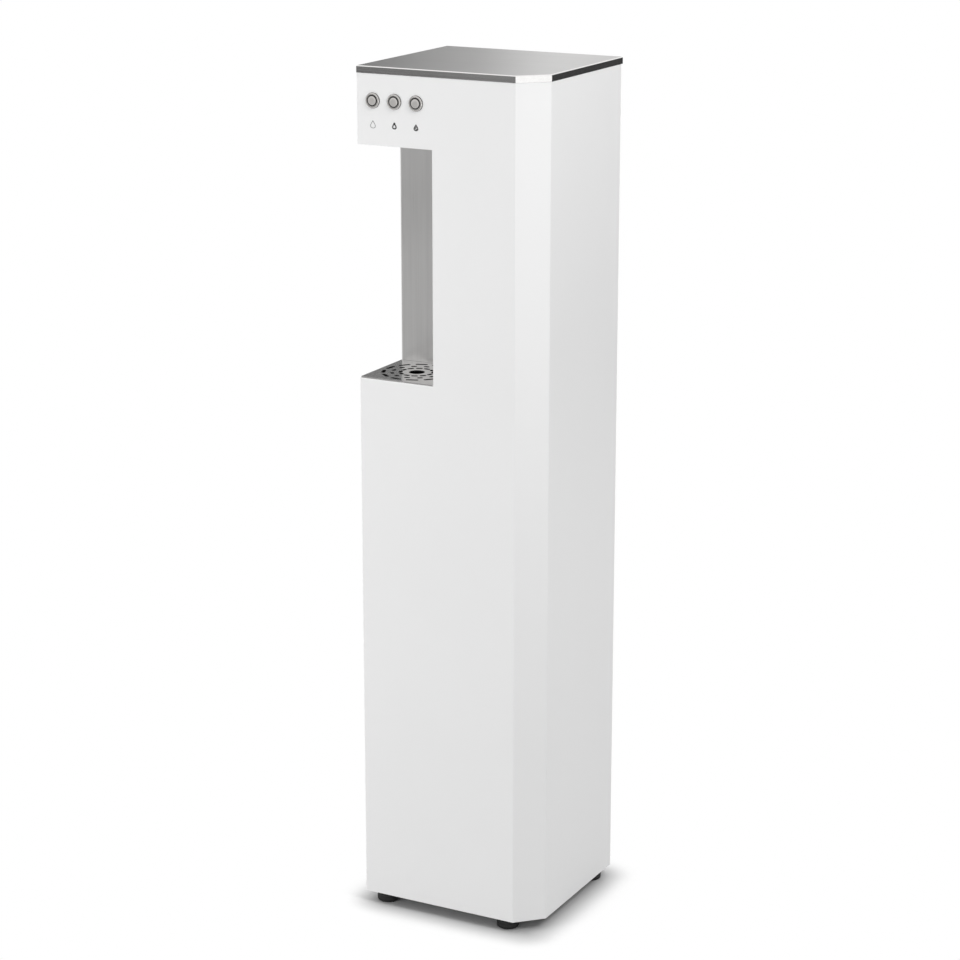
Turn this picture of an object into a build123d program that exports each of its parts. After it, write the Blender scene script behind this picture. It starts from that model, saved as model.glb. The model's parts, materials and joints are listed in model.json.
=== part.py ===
"""Floor-standing water cooler with a dispensing niche, in millimetres.

+Z is up, the front faces -Y and +X is to the viewer's right. The origin is on the
floor, under the middle of the cabinet.
"""

import os
from math import sqrt

from build123d import *

# Cabinet
cabinet_width = 282.0
cabinet_depth = 260.0
panel_height = 1222.0
foot_gap = 18.0
corner_cut = 36.0
sheet = 1.5
bend = 2.5
flange = 10.0
fold_edge = 1.2
fit = 0.3
running = 0.06

# Stainless lid and the brackets that hold it
lid_height = 10.0
lid_overhang = 0.5
lid_skin = 1.5
lid_bevel = 1.2
bracket_width = 30.0
bracket_drop = 24.0
bracket_reach = 18.0
bracket_inset = 60.0

# Rear panel and the plates under it
rear_inset = 3.0
plate_height = 140.0
rear_screw_count = 4
rear_screw_inset = 6.5
rear_screw_end = 60.0
screw_head_radius = 4.0
screw_head = 2.0
screw_radius = 2.0
screw_length = 8.0
vent_columns = 3
vent_rows = 12
vent_length = 54.0
vent_width = 4.5
vent_column_pitch = 66.0
vent_row_pitch = 13.0

# Niche
niche_width = 118.0
niche_depth = 118.0
niche_height = 333.0
head_height = 99.0
liner = 1.2
liner_wrap = 8.0

# Drip tray, its well and the grille
well_inset = 6.0
well_depth = 42.0
well_wall = 2.0
well_rim = 2.0
tray_gap = 0.8
tray_wall = 1.6
tray_corner = 5.0
grille_plate = 2.0
grille_gap = 0.6
grille_corner = 1.0
grille_turn = 6.0
drain_hole_radius = 10.5
slot_width = 4.0
slots_in_ring = 12
outer_ring_radius = 48.0
outer_slot = 16.5
middle_ring_radius = 35.5
middle_slot = 7.0
inner_ring_radius = 23.5
inner_slot = 8.5

# Nozzle and its manifold
nozzle_radius = 8.0
nozzle_bore = 5.0
nozzle_drop = 9.0
nozzle_flange_radius = 14.0
nozzle_flange = 3.0
manifold_margin = 18.0
manifold_depth = 26.0
manifold_height = 16.0
riser_height = 6.0

# Push buttons
button_pitch = 34.0
button_drop = 37.0
bezel_radius = 11.0
bezel_height = 2.5
bezel_bevel = 0.7
barrel_radius = 9.4
barrel_length = 30.0
cap_radius = 7.8
cap_proud = 0.5
cap_length = 7.5
cap_round = 0.3
cap_room = 2.5
ring_radius = 6.2
ring_depth = 1.4
button_nut = 23.0
button_nut_height = 3.5
terminal_radius = 1.2
terminal_length = 6.0
terminal_offset = 4.0

# Levelling feet
foot_inset = 24.0
corner_foot_setback = 20.0
pad_radius = 16.5
pad_height = 13.0
pad_round = 3.0
stud_radius = 5.0
stud_length = 36.0
collar_across = 14.0
collar_height = 3.5
pin_radius = 4.0
pin_depth = 8.0
weld_nut = 17.0
weld_nut_height = 8.0

# Base pan and shelf
pan_lift = 2.0
pan_sheet = 2.0
pan_upstand = 28.0
shelf_skirt = 20.0
passage_gap = 2.0

# Compressor
compressor_side = 82.0
compressor_radius = 60.0
compressor_height = 150.0
compressor_dome = 28.0
compressor_heel = 10.0
compressor_plate = 3.0
mount_spread_x = 96.0
mount_spread_y = 84.0
mount_radius = 9.0
mount_height = 12.0
mount_bore = 4.0
mount_margin = 12.0
port_offset = 14.0

# Condenser and fan
condenser_foot_gap = 19.0
condenser_depth = 26.0
condenser_back = 8.0
condenser_level = 172.0
condenser_tube_radius = 4.0
condenser_runs = 6
condenser_pitch = 28.0
condenser_end = 5.0
fin = 0.8
fin_pitch = 10.0
fin_margin = 13.0
end_plate = 2.0
shroud_sheet = 2.0
shroud_wall = 2.0
duct_radius = 72.0
duct_length = 22.0
spoke_width = 14.0
spoke_depth = 4.0
motor_radius = 24.0
motor_length = 26.0
hub_radius = 20.0
hub_length = 15.0
hub_gap = 3.0
blade_count = 5
blade_radius = 68.0
blade_chord = 17.0
blade = 1.5
blade_pitch = 35.0
fan_shaft_radius = 2.5
fan_shaft_depth = 15.0

# Refrigerant line
line_wall_gap = 9.5
line_bend = 9.0
line_drop = 80.0
suction_drop = 75.0
suction_radius = 4.0
suction_end = 58.0
drier_radius = 7.0
drier_length = 80.0
drier_drop = 22.0
capillary_radius = 1.5
capillary_side = 17.0
capillary_back = 42.0
capillary_level = 52.0
capillary_end = 46.0
capillary_bend = 8.0

# Cooling tank, coil and carbonator
tank_left_gap = 31.0
tank_right_gap = 41.0
tank_front_gap = 25.0
tank_back_gap = 30.0
tank_height = 170.0
tank_wall = 12.0
tank_cover_height = 6.0
coil_radius = 4.5
coil_gap = 4.5
coil_loops = 5
coil_pitch = 16.0
coil_lift = 16.0
coil_bend = 10.0
coil_lead = 22.0
carbonator_radius = 40.0
carbonator_height = 140.0
carbonator_round = 10.0

# Carbonator pump
pump_side = 60.0
pump_front = 42.0
pump_gap = 12.0
pump_radius = 26.0
pump_height = 90.0
pump_head = 48.0
pump_head_height = 30.0
pump_round = 4.0

# Gas cylinder, strap and regulator
gas_side = 62.0
gas_front = 92.0
gas_radius = 48.0
gas_shoulder = 30.0
gas_heel = 10.0
gas_neck_radius = 12.0
gas_neck = 18.0
strap_drop = 114.0
strap_width = 20.0
strap_foot = 30.0
valve_body_radius = 13.0
valve_body_height = 45.0
regulator_link_radius = 9.0
regulator_link = 24.0
regulator_radius = 20.0
regulator_length = 34.0
regulator_round = 3.0
knob_radius = 16.0
knob_length = 18.0
knob_gap = 0.6
knob_shaft_radius = 4.0
knob_shaft_depth = 12.0
gas_tube_radius = 3.0
gas_tube_side = 19.0
gas_tube_rise = 45.0
gas_tube_room = 47.5
gas_tube_end = 26.0

# Water filter
filter_side = 70.0
filter_front = 85.0
filter_drop = 147.0
filter_head_radius = 40.0
filter_head_height = 40.0
filter_ear_width = 40.0
filter_ear_height = 25.0
filter_radius = 42.0
filter_length = 270.0
filter_round = 8.0
filter_neck_radius = 20.0
filter_neck = 24.0
filter_port_offset = 18.0

# Valves and water tubes
valve_pitch = 24.0
valve_setback = 52.0
valve_width = 20.0
valve_depth = 26.0
valve_height = 20.0
valve_coil_height = 26.0
valve_coil_inset = 2.0
spigot_radius = 4.5
spigot_length = 10.0
valve_rise = 20.0
valve_plate_height = 34.0
valve_plate_margin = 20.0
valve_bracket_foot = 25.0
tube_radius = 3.2
tube_bend = 11.0
tube_rise = 22.0
tube_room = 19.5
supply_gap = 22.0
pump_tube_side = 15.0
pump_tube_drop = 49.0
pump_tube_end = 34.0
inlet_tube_side = 13.0
inlet_tube_back = 105.0
filtered_tube_back = 90.0

# Water inlet
inlet_offset = 66.0
inlet_level = 90.0
inlet_flange_radius = 14.0
inlet_flange = 3.0
inlet_radius = 9.0
inlet_length = 25.0
inlet_bore = 3.2
inlet_bore_depth = 18.0
inlet_nut = 24.0
inlet_nut_height = 6.0

# Power inlet with its rocker switch
power_offset = 40.0
power_level = 92.0
power_flange_width = 64.0
power_flange_height = 34.0
power_flange = 3.0
power_flange_round = 4.0
power_body_width = 56.0
power_body_height = 28.0
power_body_depth = 30.0
socket_offset = 13.0
socket_width = 24.5
socket_height = 17.0
socket_depth = 16.0
contact_width = 2.0
contact_height = 4.0
contact_length = 13.0
contact_spread = 7.0
contact_rise = 2.0
switch_offset = 16.0
rocker_width = 13.0
rocker_height = 20.0
rocker_thickness = 5.0
rocker_rise = 1.4
rocker_tilt = 8.0
rocker_gap = 0.8
rocker_sink = 1.0
rocker_pin_radius = 1.5
rocker_pin_reach = 2.0
switch_depth = 9.0

# Control box and board
control_back = 90.0
control_drop = 372.0
control_depth = 80.0
control_height = 180.0
control_width = 45.0
control_wall = 2.0
board = 1.6
board_margin = 3.0
standoff_radius = 3.0
standoff_height = 6.0
relay_size = 18.0
relay_height = 14.0

# Limits of the cabinet, the niche and the machine room
left = -cabinet_width / 2
right = cabinet_width / 2
front = -cabinet_depth / 2
back = cabinet_depth / 2
panel_bottom = foot_gap
panel_top = panel_bottom + panel_height
lid_underside = panel_top + lid_height - lid_skin
inner_left = left + sheet
inner_right = right - sheet
inner_back = back - sheet
ceiling_z = panel_top - head_height
tray_z = ceiling_z - niche_height
ceiling_top = ceiling_z + liner
niche_right = left + niche_width
niche_back = front + niche_depth
niche_x = left + niche_width / 2
niche_y = front + niche_depth / 2
pan_z = panel_bottom + pan_lift
pan_top = pan_z + pan_sheet
well_floor = tray_z - well_depth
over_tank = well_floor - well_wall - tube_room
cover_top = over_tank - tube_rise
tank_top = cover_top - tank_cover_height
shelf_top = tank_top - tank_height
shelf_z = shelf_top - sheet

os.makedirs("parts", exist_ok=True)


def save(piece, node):
    """Label a finished piece and write it under its node's name."""
    piece.part.label = node
    export_step(piece.part, f"parts/{node}.step")


def block(x, y, z, mode=Mode.ADD):
    """Box between the two limits given on each axis."""
    with Locations(((x[0] + x[1]) / 2, (y[0] + y[1]) / 2, (z[0] + z[1]) / 2)):
        Box(x[1] - x[0], y[1] - y[0], z[1] - z[0], mode=mode)


def rod(radius, length, foot, axis=(0, 0, 1), mode=Mode.ADD):
    """Round bar that starts at foot and runs along axis."""
    with Locations(Plane(origin=foot, z_dir=axis)):
        Cylinder(radius, length, align=(Align.CENTER, Align.CENTER, Align.MIN), mode=mode)


def hexagon(across, bore, height, foot, axis=(0, 0, 1)):
    """Hexagonal nut or collar that starts at foot and runs along axis."""
    with BuildSketch(Plane(origin=foot, z_dir=axis)) as outline:
        RegularPolygon(across / 2, 6, major_radius=False)
        if bore:
            Circle(bore, mode=Mode.SUBTRACT)
    extrude(outline.sketch, amount=height)


def pipe(points, radius, turn):
    """Round tube along straight runs joined by arcs of radius turn."""
    with BuildLine() as route:
        FilletPolyline(*points, radius=turn)
    with BuildSketch(Plane(origin=route.line @ 0, z_dir=route.line % 0)) as section:
        Circle(radius)
    sweep(section.sketch, path=route.line)


def plan(z, side, end, height, mode=Mode.ADD):
    """Prism on the cabinet's plan, set in by side at the sides and by end at the ends."""
    lean = side * sqrt(2)
    with BuildSketch(Plane.XY.offset(z)) as outline:
        with BuildLine():
            Polyline(
                (left + side, front + end),
                (right - corner_cut - lean + end, front + end),
                (right - side, front + corner_cut + lean - side),
                (right - side, back - end),
                (left + side, back - end),
                close=True,
            )
        make_face()
    extrude(outline.sketch, amount=height, mode=mode)


# The screws of the rear panel go through the flanges of both side panels
screw_span = panel_height - 2 * rear_screw_end
screw_levels = [
    panel_bottom + rear_screw_end + i * screw_span / (rear_screw_count - 1)
    for i in range(rear_screw_count)
]
rear_screw_places = [
    (x, z) for x in (left + rear_screw_inset, right - rear_screw_inset) for z in screw_levels
]
button_z = panel_top - button_drop
button_places = [niche_x + i * button_pitch for i in (-1, 0, 1)]
bezel_face = front - bezel_height
cap_face = bezel_face - cap_proud

# Front panel: front, cut corner and right side folded from one sheet
with BuildPart() as front_panel:
    with BuildSketch(Plane.XY.offset(panel_bottom)):
        with BuildLine():
            FilletPolyline(
                (left, front),
                (right - corner_cut, front),
                (right, front + corner_cut),
                (right, inner_back),
                (right - flange, inner_back),
                radius=bend,
            )
            offset(amount=sheet, side=Side.LEFT)
        make_face()
    extrude(amount=panel_height)
    block((left, niche_right), (front, front + sheet), (tray_z, ceiling_z), Mode.SUBTRACT)
    niche_edges = front_panel.edges().filter_by_position(Axis.Y, front, front)
    fillet(niche_edges.filter_by_position(Axis.Z, tray_z, tray_z), radius=fold_edge)
    for x in button_places:
        rod(barrel_radius + fit, sheet, (x, front, button_z), (0, 1, 0), Mode.SUBTRACT)
    for x, z in rear_screw_places:
        rod(screw_radius + fit, 2 * sheet, (x, inner_back - sheet, z), (0, 1, 0), Mode.SUBTRACT)
save(front_panel, "front_panel")

# Left wall, flanged behind the front and rear panels: a sheet up to the tray, one beside
# the niche and one beside the head, with hairline seams
with BuildPart() as left_panel:
    with BuildSketch(Plane.XY.offset(panel_bottom)):
        with BuildLine():
            FilletPolyline(
                (left + flange, front + sheet),
                (left, front + sheet),
                (left, inner_back),
                (left + flange, inner_back),
                radius=bend,
            )
            offset(amount=sheet, side=Side.RIGHT)
        make_face()
    extrude(amount=panel_height)
    wall_x = (left, left + flange)
    wrap_y = niche_back + liner_wrap
    block(wall_x, (front, wrap_y), (tray_z, ceiling_z), Mode.SUBTRACT)
    block(wall_x, (wrap_y, back), (tray_z, tray_z + fit), Mode.SUBTRACT)
    block(wall_x, (wrap_y - fit, wrap_y), (ceiling_z, panel_top), Mode.SUBTRACT)
    for x, z in rear_screw_places:
        rod(screw_radius + fit, 2 * sheet, (x, inner_back - sheet, z), (0, 1, 0), Mode.SUBTRACT)
save(left_panel, "left_panel")

# Condenser, fan and rear fittings share these places
condenser_width = 2 * (right - foot_inset - condenser_foot_gap)
fin_count = int((condenser_width - 2 * fin_margin) / fin_pitch) + 1
fin_height = condenser_runs * condenser_pitch
condenser_z = panel_bottom + condenser_level
condenser_y = inner_back - condenser_back - condenser_depth / 2
condenser_front = condenser_y - condenser_depth / 2
run_levels = [condenser_z + (i + 0.5) * condenser_pitch for i in range(condenser_runs)]
fan_z = condenser_z + fin_height / 2
inlet_x = inlet_offset
inlet_z = panel_bottom + inlet_level
power_x = -power_offset
power_z = panel_bottom + power_level
power_left = power_x - power_body_width / 2
power_right = power_x + power_body_width / 2
power_low = power_z - power_body_height / 2
power_high = power_z + power_body_height / 2

# Rear wall: a vented panel above two plates, one for the power inlet and one for the water
with BuildPart() as rear_panel:
    panel_x = (left + rear_inset, right - rear_inset)
    panel_y = (inner_back, back)
    plate_top = panel_bottom + plate_height
    plate_seam = (power_right + inlet_x) / 2
    block(panel_x, panel_y, (panel_bottom, panel_top))
    block(panel_x, panel_y, (plate_top, plate_top + fit), Mode.SUBTRACT)
    block((plate_seam, plate_seam + fit), panel_y, (panel_bottom, plate_top), Mode.SUBTRACT)
    with BuildSketch(Plane(origin=(0, back, fan_z), x_dir=(1, 0, 0), z_dir=(0, 1, 0))):
        with GridLocations(vent_column_pitch, vent_row_pitch, vent_columns, vent_rows):
            SlotOverall(vent_length, vent_width)
    extrude(amount=-sheet, mode=Mode.SUBTRACT)
    for x, z in rear_screw_places:
        rod(screw_radius + fit, sheet, (x, inner_back, z), (0, 1, 0), Mode.SUBTRACT)
    rod(inlet_radius + fit, sheet, (inlet_x, inner_back, inlet_z), (0, 1, 0), Mode.SUBTRACT)
    block(
        (power_left - fit, power_right + fit),
        panel_y,
        (power_low - fit, power_high + fit),
        Mode.SUBTRACT,
    )
save(rear_panel, "rear_panel")

with BuildPart() as rear_panel_screws:
    for x, z in rear_screw_places:
        rod(screw_head_radius, screw_head, (x, back, z), (0, 1, 0))
        rod(screw_radius, screw_length, (x, back, z), (0, -1, 0))
save(rear_panel_screws, "rear_panel_screws")

# Stainless lid: a shallow pan whose hemmed rim stands on the panels
with BuildPart() as top_lid:
    plan(panel_top, -lid_overhang, -lid_overhang, lid_height)
    chamfer(top_lid.faces().sort_by(Axis.Z)[-1].edges(), length=lid_bevel)
    plan(panel_top, sheet, sheet, lid_height - lid_skin, Mode.SUBTRACT)
save(top_lid, "top_lid")

with BuildPart() as lid_brackets:
    for wall, inward in ((inner_left, 1), (inner_right, -1)):
        leg_x = sorted((wall, wall + inward * sheet))
        arm_x = sorted((wall, wall + inward * bracket_reach))
        for y in (front + bracket_inset, back - bracket_inset):
            width_y = (y - bracket_width / 2, y + bracket_width / 2)
            block(leg_x, width_y, (panel_top - bracket_drop, lid_underside))
            block(arm_x, width_y, (lid_underside - sheet, lid_underside))
save(lid_brackets, "lid_brackets")

# Levelling feet: pad and threaded stud
feet = {
    "front_left": (left + foot_inset, front + foot_inset),
    "front_right": (right - corner_cut - corner_foot_setback, front + foot_inset),
    "rear_left": (left + foot_inset, back - foot_inset),
    "rear_right": (right - foot_inset, back - foot_inset),
}
for place, (x, y) in feet.items():
    with BuildPart() as foot_pad:
        rod(pad_radius, pad_height, (x, y, 0))
        fillet(foot_pad.edges().group_by(Axis.Z)[0], radius=pad_round)
        fillet(foot_pad.edges().group_by(Axis.Z)[-1], radius=pad_round / 3)
        rod(pin_radius + running, pin_depth, (x, y, pad_height), (0, 0, -1), Mode.SUBTRACT)
    save(foot_pad, f"foot_pad_{place}")
    with BuildPart() as foot_stud:
        rod(pin_radius, pin_depth - fit, (x, y, pad_height), (0, 0, -1))
        hexagon(collar_across, 0, collar_height, (x, y, pad_height))
        rod(stud_radius, stud_length, (x, y, pad_height + collar_height))
        chamfer(foot_stud.edges().group_by(Axis.Z)[-1], length=stud_radius / 5)
    save(foot_stud, f"foot_stud_{place}")

# Base pan and shelf, set inside the flanges of the panels
room_side = sheet + fit
room_end = 2 * sheet + fit
with BuildPart() as base_pan:
    plan(pan_z, room_side, room_end, pan_sheet + pan_upstand)
    plan(pan_top, room_side + sheet, room_end + sheet, pan_upstand, Mode.SUBTRACT)
    for x, y in feet.values():
        rod(stud_radius + fit, pan_sheet, (x, y, pan_z), mode=Mode.SUBTRACT)
save(base_pan, "base_pan")

compressor_x = left + compressor_side
plate_z = pan_top + mount_height
shell_z = plate_z + compressor_plate
shell_top = shell_z + compressor_height
pump_x = left + pump_side
pump_y = front + pump_front
compressor_y = pump_y + pump_head / 2 + pump_gap + compressor_radius
gas_x = right - gas_side
gas_y = front + gas_front
tank_left = left + tank_left_gap
tank_right = right - tank_right_gap
tank_front = front + tank_front_gap
tank_back = back - tank_back_gap
tank_x = (tank_left + tank_right) / 2
tank_y = (tank_front + tank_back) / 2
line_x = inner_left + line_wall_gap
capillary_x = inner_left + capillary_side
capillary_y = back - capillary_back
pump_tube_x = inner_left + pump_tube_side
gas_tube_x = inner_right - gas_tube_side
inlet_tube_x = inner_right - inlet_tube_side
inlet_tube_y = back - inlet_tube_back
passages = [
    (line_x, compressor_y, suction_radius),
    (capillary_x, capillary_y, capillary_radius),
    (pump_tube_x, pump_y, tube_radius),
    (gas_tube_x, gas_y, gas_tube_radius),
    (inlet_tube_x, inlet_tube_y, tube_radius),
]
with BuildPart() as mid_shelf:
    plan(shelf_top - shelf_skirt, room_side, room_end, shelf_skirt)
    skirt_depth = shelf_skirt - sheet
    plan(shelf_top - shelf_skirt, room_side + sheet, room_end + sheet, skirt_depth, Mode.SUBTRACT)
    for x, y, radius in passages:
        rod(radius + passage_gap, sheet, (x, y, shelf_z), mode=Mode.SUBTRACT)
save(mid_shelf, "mid_shelf")

# Niche lining: back wall and right cheek in one sheet, wrapped round the left edge
with BuildPart() as niche_liner:
    with BuildSketch(Plane.XY.offset(tray_z)):
        with BuildLine():
            FilletPolyline(
                (left, niche_back + liner_wrap),
                (left, niche_back),
                (niche_right, niche_back),
                (niche_right, front + sheet),
                radius=bend,
            )
            offset(amount=liner, side=Side.LEFT)
        make_face()
    extrude(amount=niche_height)
save(niche_liner, "niche_liner")

# Ceiling on the liner's top edge, and the limits that it shares with the tray well's rim
rim_x = (inner_left + fit, niche_right + liner)
rim_y = (front + 2 * sheet + fit, niche_back + liner)
with BuildPart() as niche_ceiling:
    block(rim_x, rim_y, (ceiling_z, ceiling_top))
    rod(nozzle_radius + fit, liner, (niche_x, niche_y, ceiling_z), mode=Mode.SUBTRACT)
save(niche_ceiling, "niche_ceiling")

# Tray well under the niche, with the drip tray standing in it
well_x = (left + well_inset, niche_right - well_wall)
well_y = (front + well_inset, niche_back - well_wall)


def grown(limits, amount):
    """Pair of limits moved outwards by amount, or inwards where it is negative."""
    return (limits[0] - amount, limits[1] + amount)


with BuildPart() as tray_well:
    block(rim_x, rim_y, (tray_z - well_rim, tray_z))
    block(grown(well_x, well_wall), grown(well_y, well_wall), (well_floor - well_wall, tray_z))
    block(well_x, well_y, (well_floor, tray_z), Mode.SUBTRACT)
save(tray_well, "tray_well")

with BuildPart() as drip_tray:
    tray_top = tray_z - fit
    block(grown(well_x, -tray_gap), grown(well_y, -tray_gap), (well_floor, tray_top))
    fillet(drip_tray.edges().filter_by(Axis.Z), radius=tray_corner)
    offset(amount=-tray_wall, openings=drip_tray.faces().sort_by(Axis.Z)[-1])
save(drip_tray, "drip_tray")

with BuildPart() as drip_grille:
    grille_x = (left + grille_gap, niche_right - grille_gap)
    grille_y = (front + grille_gap, niche_back - grille_gap)
    block(grille_x, grille_y, (tray_z, tray_z + grille_plate))
    fillet(drip_grille.edges().filter_by(Axis.Z), radius=grille_corner)
    with BuildSketch(Plane(origin=(niche_x, niche_y, tray_z))):
        Circle(drain_hole_radius)
        half_step = 180 / slots_in_ring
        for circle_radius, slot_length, start in (
            (outer_ring_radius, outer_slot, grille_turn + half_step),
            (middle_ring_radius, middle_slot, grille_turn),
            (inner_ring_radius, inner_slot, grille_turn + half_step),
        ):
            with PolarLocations(circle_radius, slots_in_ring, start_angle=start):
                SlotOverall(slot_length, slot_width, rotation=90)
    extrude(amount=grille_plate, mode=Mode.SUBTRACT)
save(drip_grille, "drip_grille")

# Nozzle through the ceiling, and the manifold that feeds it
manifold_z = ceiling_top + nozzle_flange
riser_top = manifold_z + manifold_height + riser_height
valve_places = [niche_x + i * valve_pitch for i in (-1, 0, 1)]
with BuildPart() as nozzle:
    nozzle_foot = (niche_x, niche_y, ceiling_z - nozzle_drop)
    rod(nozzle_radius, manifold_z - ceiling_z + nozzle_drop, nozzle_foot)
    rod(nozzle_flange_radius, nozzle_flange, (niche_x, niche_y, ceiling_top))
    rod(nozzle_bore, manifold_z - ceiling_z + nozzle_drop, nozzle_foot, mode=Mode.SUBTRACT)
save(nozzle, "nozzle")

with BuildPart() as nozzle_manifold:
    manifold_x = (valve_places[0] - manifold_margin, valve_places[-1] + manifold_margin)
    manifold_y = (niche_y - manifold_depth / 2, niche_y + manifold_depth / 2)
    block(manifold_x, manifold_y, (manifold_z, manifold_z + manifold_height))
    for x in valve_places:
        rod(spigot_radius, riser_height, (x, niche_y, manifold_z + manifold_height))
save(nozzle_manifold, "nozzle_manifold")

# Push buttons: housings and nuts in the front panel, caps and rings that travel
cap_bore_depth = cap_length + cap_room
with BuildPart() as button_housings:
    for x in button_places:
        rod(bezel_radius, bezel_height, (x, front, button_z), (0, -1, 0))
    chamfer(button_housings.edges().group_by(Axis.Y)[0], length=bezel_bevel)
    for x in button_places:
        rod(barrel_radius, barrel_length, (x, front, button_z), (0, 1, 0))
        rod(cap_radius + running, cap_bore_depth, (x, bezel_face, button_z), (0, 1, 0), Mode.SUBTRACT)
        for z in (button_z - terminal_offset, button_z + terminal_offset):
            rod(terminal_radius, terminal_length, (x, front + barrel_length, z), (0, 1, 0))
save(button_housings, "button_housings")

# Nuts on the button barrels and the water inlet, and those welded to the pan for the feet
with BuildPart() as fixing_nuts:
    for x in button_places:
        nut_foot = (x, front + sheet, button_z)
        hexagon(button_nut, barrel_radius + running, button_nut_height, nut_foot, (0, 1, 0))
    nut_foot = (inlet_x, inner_back, inlet_z)
    hexagon(inlet_nut, inlet_radius + running, inlet_nut_height, nut_foot, (0, -1, 0))
    for x, y in feet.values():
        hexagon(weld_nut, stud_radius + running, weld_nut_height, (x, y, pan_top))
save(fixing_nuts, "fixing_nuts")

for drink, x in zip(("ambient", "chilled", "sparkling"), button_places):
    with BuildPart() as button_cap:
        rod(cap_radius, cap_length, (x, cap_face, button_z), (0, 1, 0))
        with BuildSketch(Plane(origin=(x, cap_face, button_z), z_dir=(0, 1, 0))):
            Circle(cap_radius)
            Circle(ring_radius, mode=Mode.SUBTRACT)
        extrude(amount=ring_depth, mode=Mode.SUBTRACT)
        fillet(button_cap.edges().group_by(Axis.Y)[0], radius=cap_round)
    save(button_cap, f"{drink}_button_cap")
    with BuildPart() as button_ring:
        with BuildSketch(Plane(origin=(x, cap_face + cap_round, button_z), z_dir=(0, 1, 0))):
            Circle(cap_radius)
            Circle(ring_radius, mode=Mode.SUBTRACT)
        extrude(amount=ring_depth - cap_round)
    save(button_ring, f"{drink}_button_ring")

# Compressor on rubber mounts
mount_places = [
    (compressor_x + i * mount_spread_x / 2, compressor_y + j * mount_spread_y / 2)
    for i in (-1, 1)
    for j in (-1, 1)
]
with BuildPart() as compressor:
    rod(compressor_radius, compressor_height, (compressor_x, compressor_y, shell_z))
    fillet(compressor.edges().group_by(Axis.Z)[-1], radius=compressor_dome)
    fillet(compressor.edges().group_by(Axis.Z)[0], radius=compressor_heel)
    plate_x = grown((compressor_x, compressor_x), mount_spread_x / 2 + mount_margin)
    plate_y = grown((compressor_y, compressor_y), mount_spread_y / 2 + mount_margin)
    block(plate_x, plate_y, (plate_z, shell_z))
    for x, y in mount_places:
        rod(mount_bore, compressor_plate, (x, y, plate_z), mode=Mode.SUBTRACT)
save(compressor, "compressor")

with BuildPart() as compressor_mounts:
    for x, y in mount_places:
        rod(mount_radius, mount_height, (x, y, pan_top))
        rod(mount_bore, mount_height, (x, y, pan_top), mode=Mode.SUBTRACT)
save(compressor_mounts, "compressor_mounts")

# Condenser: one tube that runs to and fro through a stack of fins
run_end = condenser_width / 2 + condenser_end
turn_x = run_end + condenser_pitch / 2
serpentine = [(-run_end, condenser_y, run_levels[0])]
for i, (low, high) in enumerate(zip(run_levels, run_levels[1:])):
    side_x = turn_x if i % 2 == 0 else -turn_x
    serpentine += [(side_x, condenser_y, low), (side_x, condenser_y, high)]
serpentine.append((-run_end, condenser_y, run_levels[-1]))
with BuildPart() as condenser_tube:
    pipe(serpentine, condenser_tube_radius, condenser_pitch / 2 - fit)
save(condenser_tube, "condenser_tube")

with BuildPart() as condenser_fins:
    first_fin = -(fin_count - 1) * fin_pitch / 2
    fin_planes = [Plane.YZ.offset(first_fin + i * fin_pitch - fin / 2) for i in range(fin_count)]
    with BuildSketch(*fin_planes):
        with Locations((condenser_y, fan_z)):
            Rectangle(condenser_depth, fin_height)
        with Locations(*[(condenser_y, z) for z in run_levels]):
            Circle(condenser_tube_radius + running, mode=Mode.SUBTRACT)
    extrude(amount=fin)
    for plate_start in (-condenser_width / 2, condenser_width / 2 - end_plate):
        with BuildSketch(Plane.YZ.offset(plate_start)):
            plate_height = condenser_z + fin_height - pan_top
            with Locations((condenser_y, pan_top + plate_height / 2)):
                Rectangle(condenser_depth, plate_height)
            with Locations(*[(condenser_y, z) for z in run_levels]):
                Circle(condenser_tube_radius + running, mode=Mode.SUBTRACT)
        extrude(amount=end_plate)
save(condenser_fins, "condenser_fins")

# Fan: shroud with spokes, motor in front of them, impeller in the duct
shroud_front = condenser_front - shroud_sheet
duct_front = shroud_front - duct_length
spoke_front = duct_front - spoke_depth
with BuildPart() as fan_shroud:
    shroud_x = (-condenser_width / 2, condenser_width / 2)
    block(shroud_x, (shroud_front, condenser_front), (condenser_z, condenser_z + fin_height))
    rod(duct_radius + shroud_wall, duct_length, (0, duct_front, fan_z), (0, 1, 0))
    duct_reach = condenser_front - duct_front
    rod(duct_radius, duct_reach, (0, duct_front, fan_z), (0, 1, 0), Mode.SUBTRACT)
    spoke_x = grown((0, 0), duct_radius + shroud_wall)
    spoke_z = grown((fan_z, fan_z), duct_radius + shroud_wall)
    half_spoke = spoke_width / 2
    block(spoke_x, (spoke_front, duct_front), grown((fan_z, fan_z), half_spoke))
    block(grown((0, 0), half_spoke), (spoke_front, duct_front), spoke_z)
    shaft_room = fan_shaft_radius + fit
    rod(shaft_room, spoke_depth, (0, spoke_front, fan_z), (0, 1, 0), Mode.SUBTRACT)
save(fan_shroud, "fan_shroud")

with BuildPart() as fan_motor:
    rod(motor_radius, motor_length, (0, spoke_front, fan_z), (0, -1, 0))
    bore_depth = fan_shaft_depth + fit
    rod(fan_shaft_radius + running, bore_depth, (0, spoke_front, fan_z), (0, -1, 0), Mode.SUBTRACT)
save(fan_motor, "fan_motor")

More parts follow.
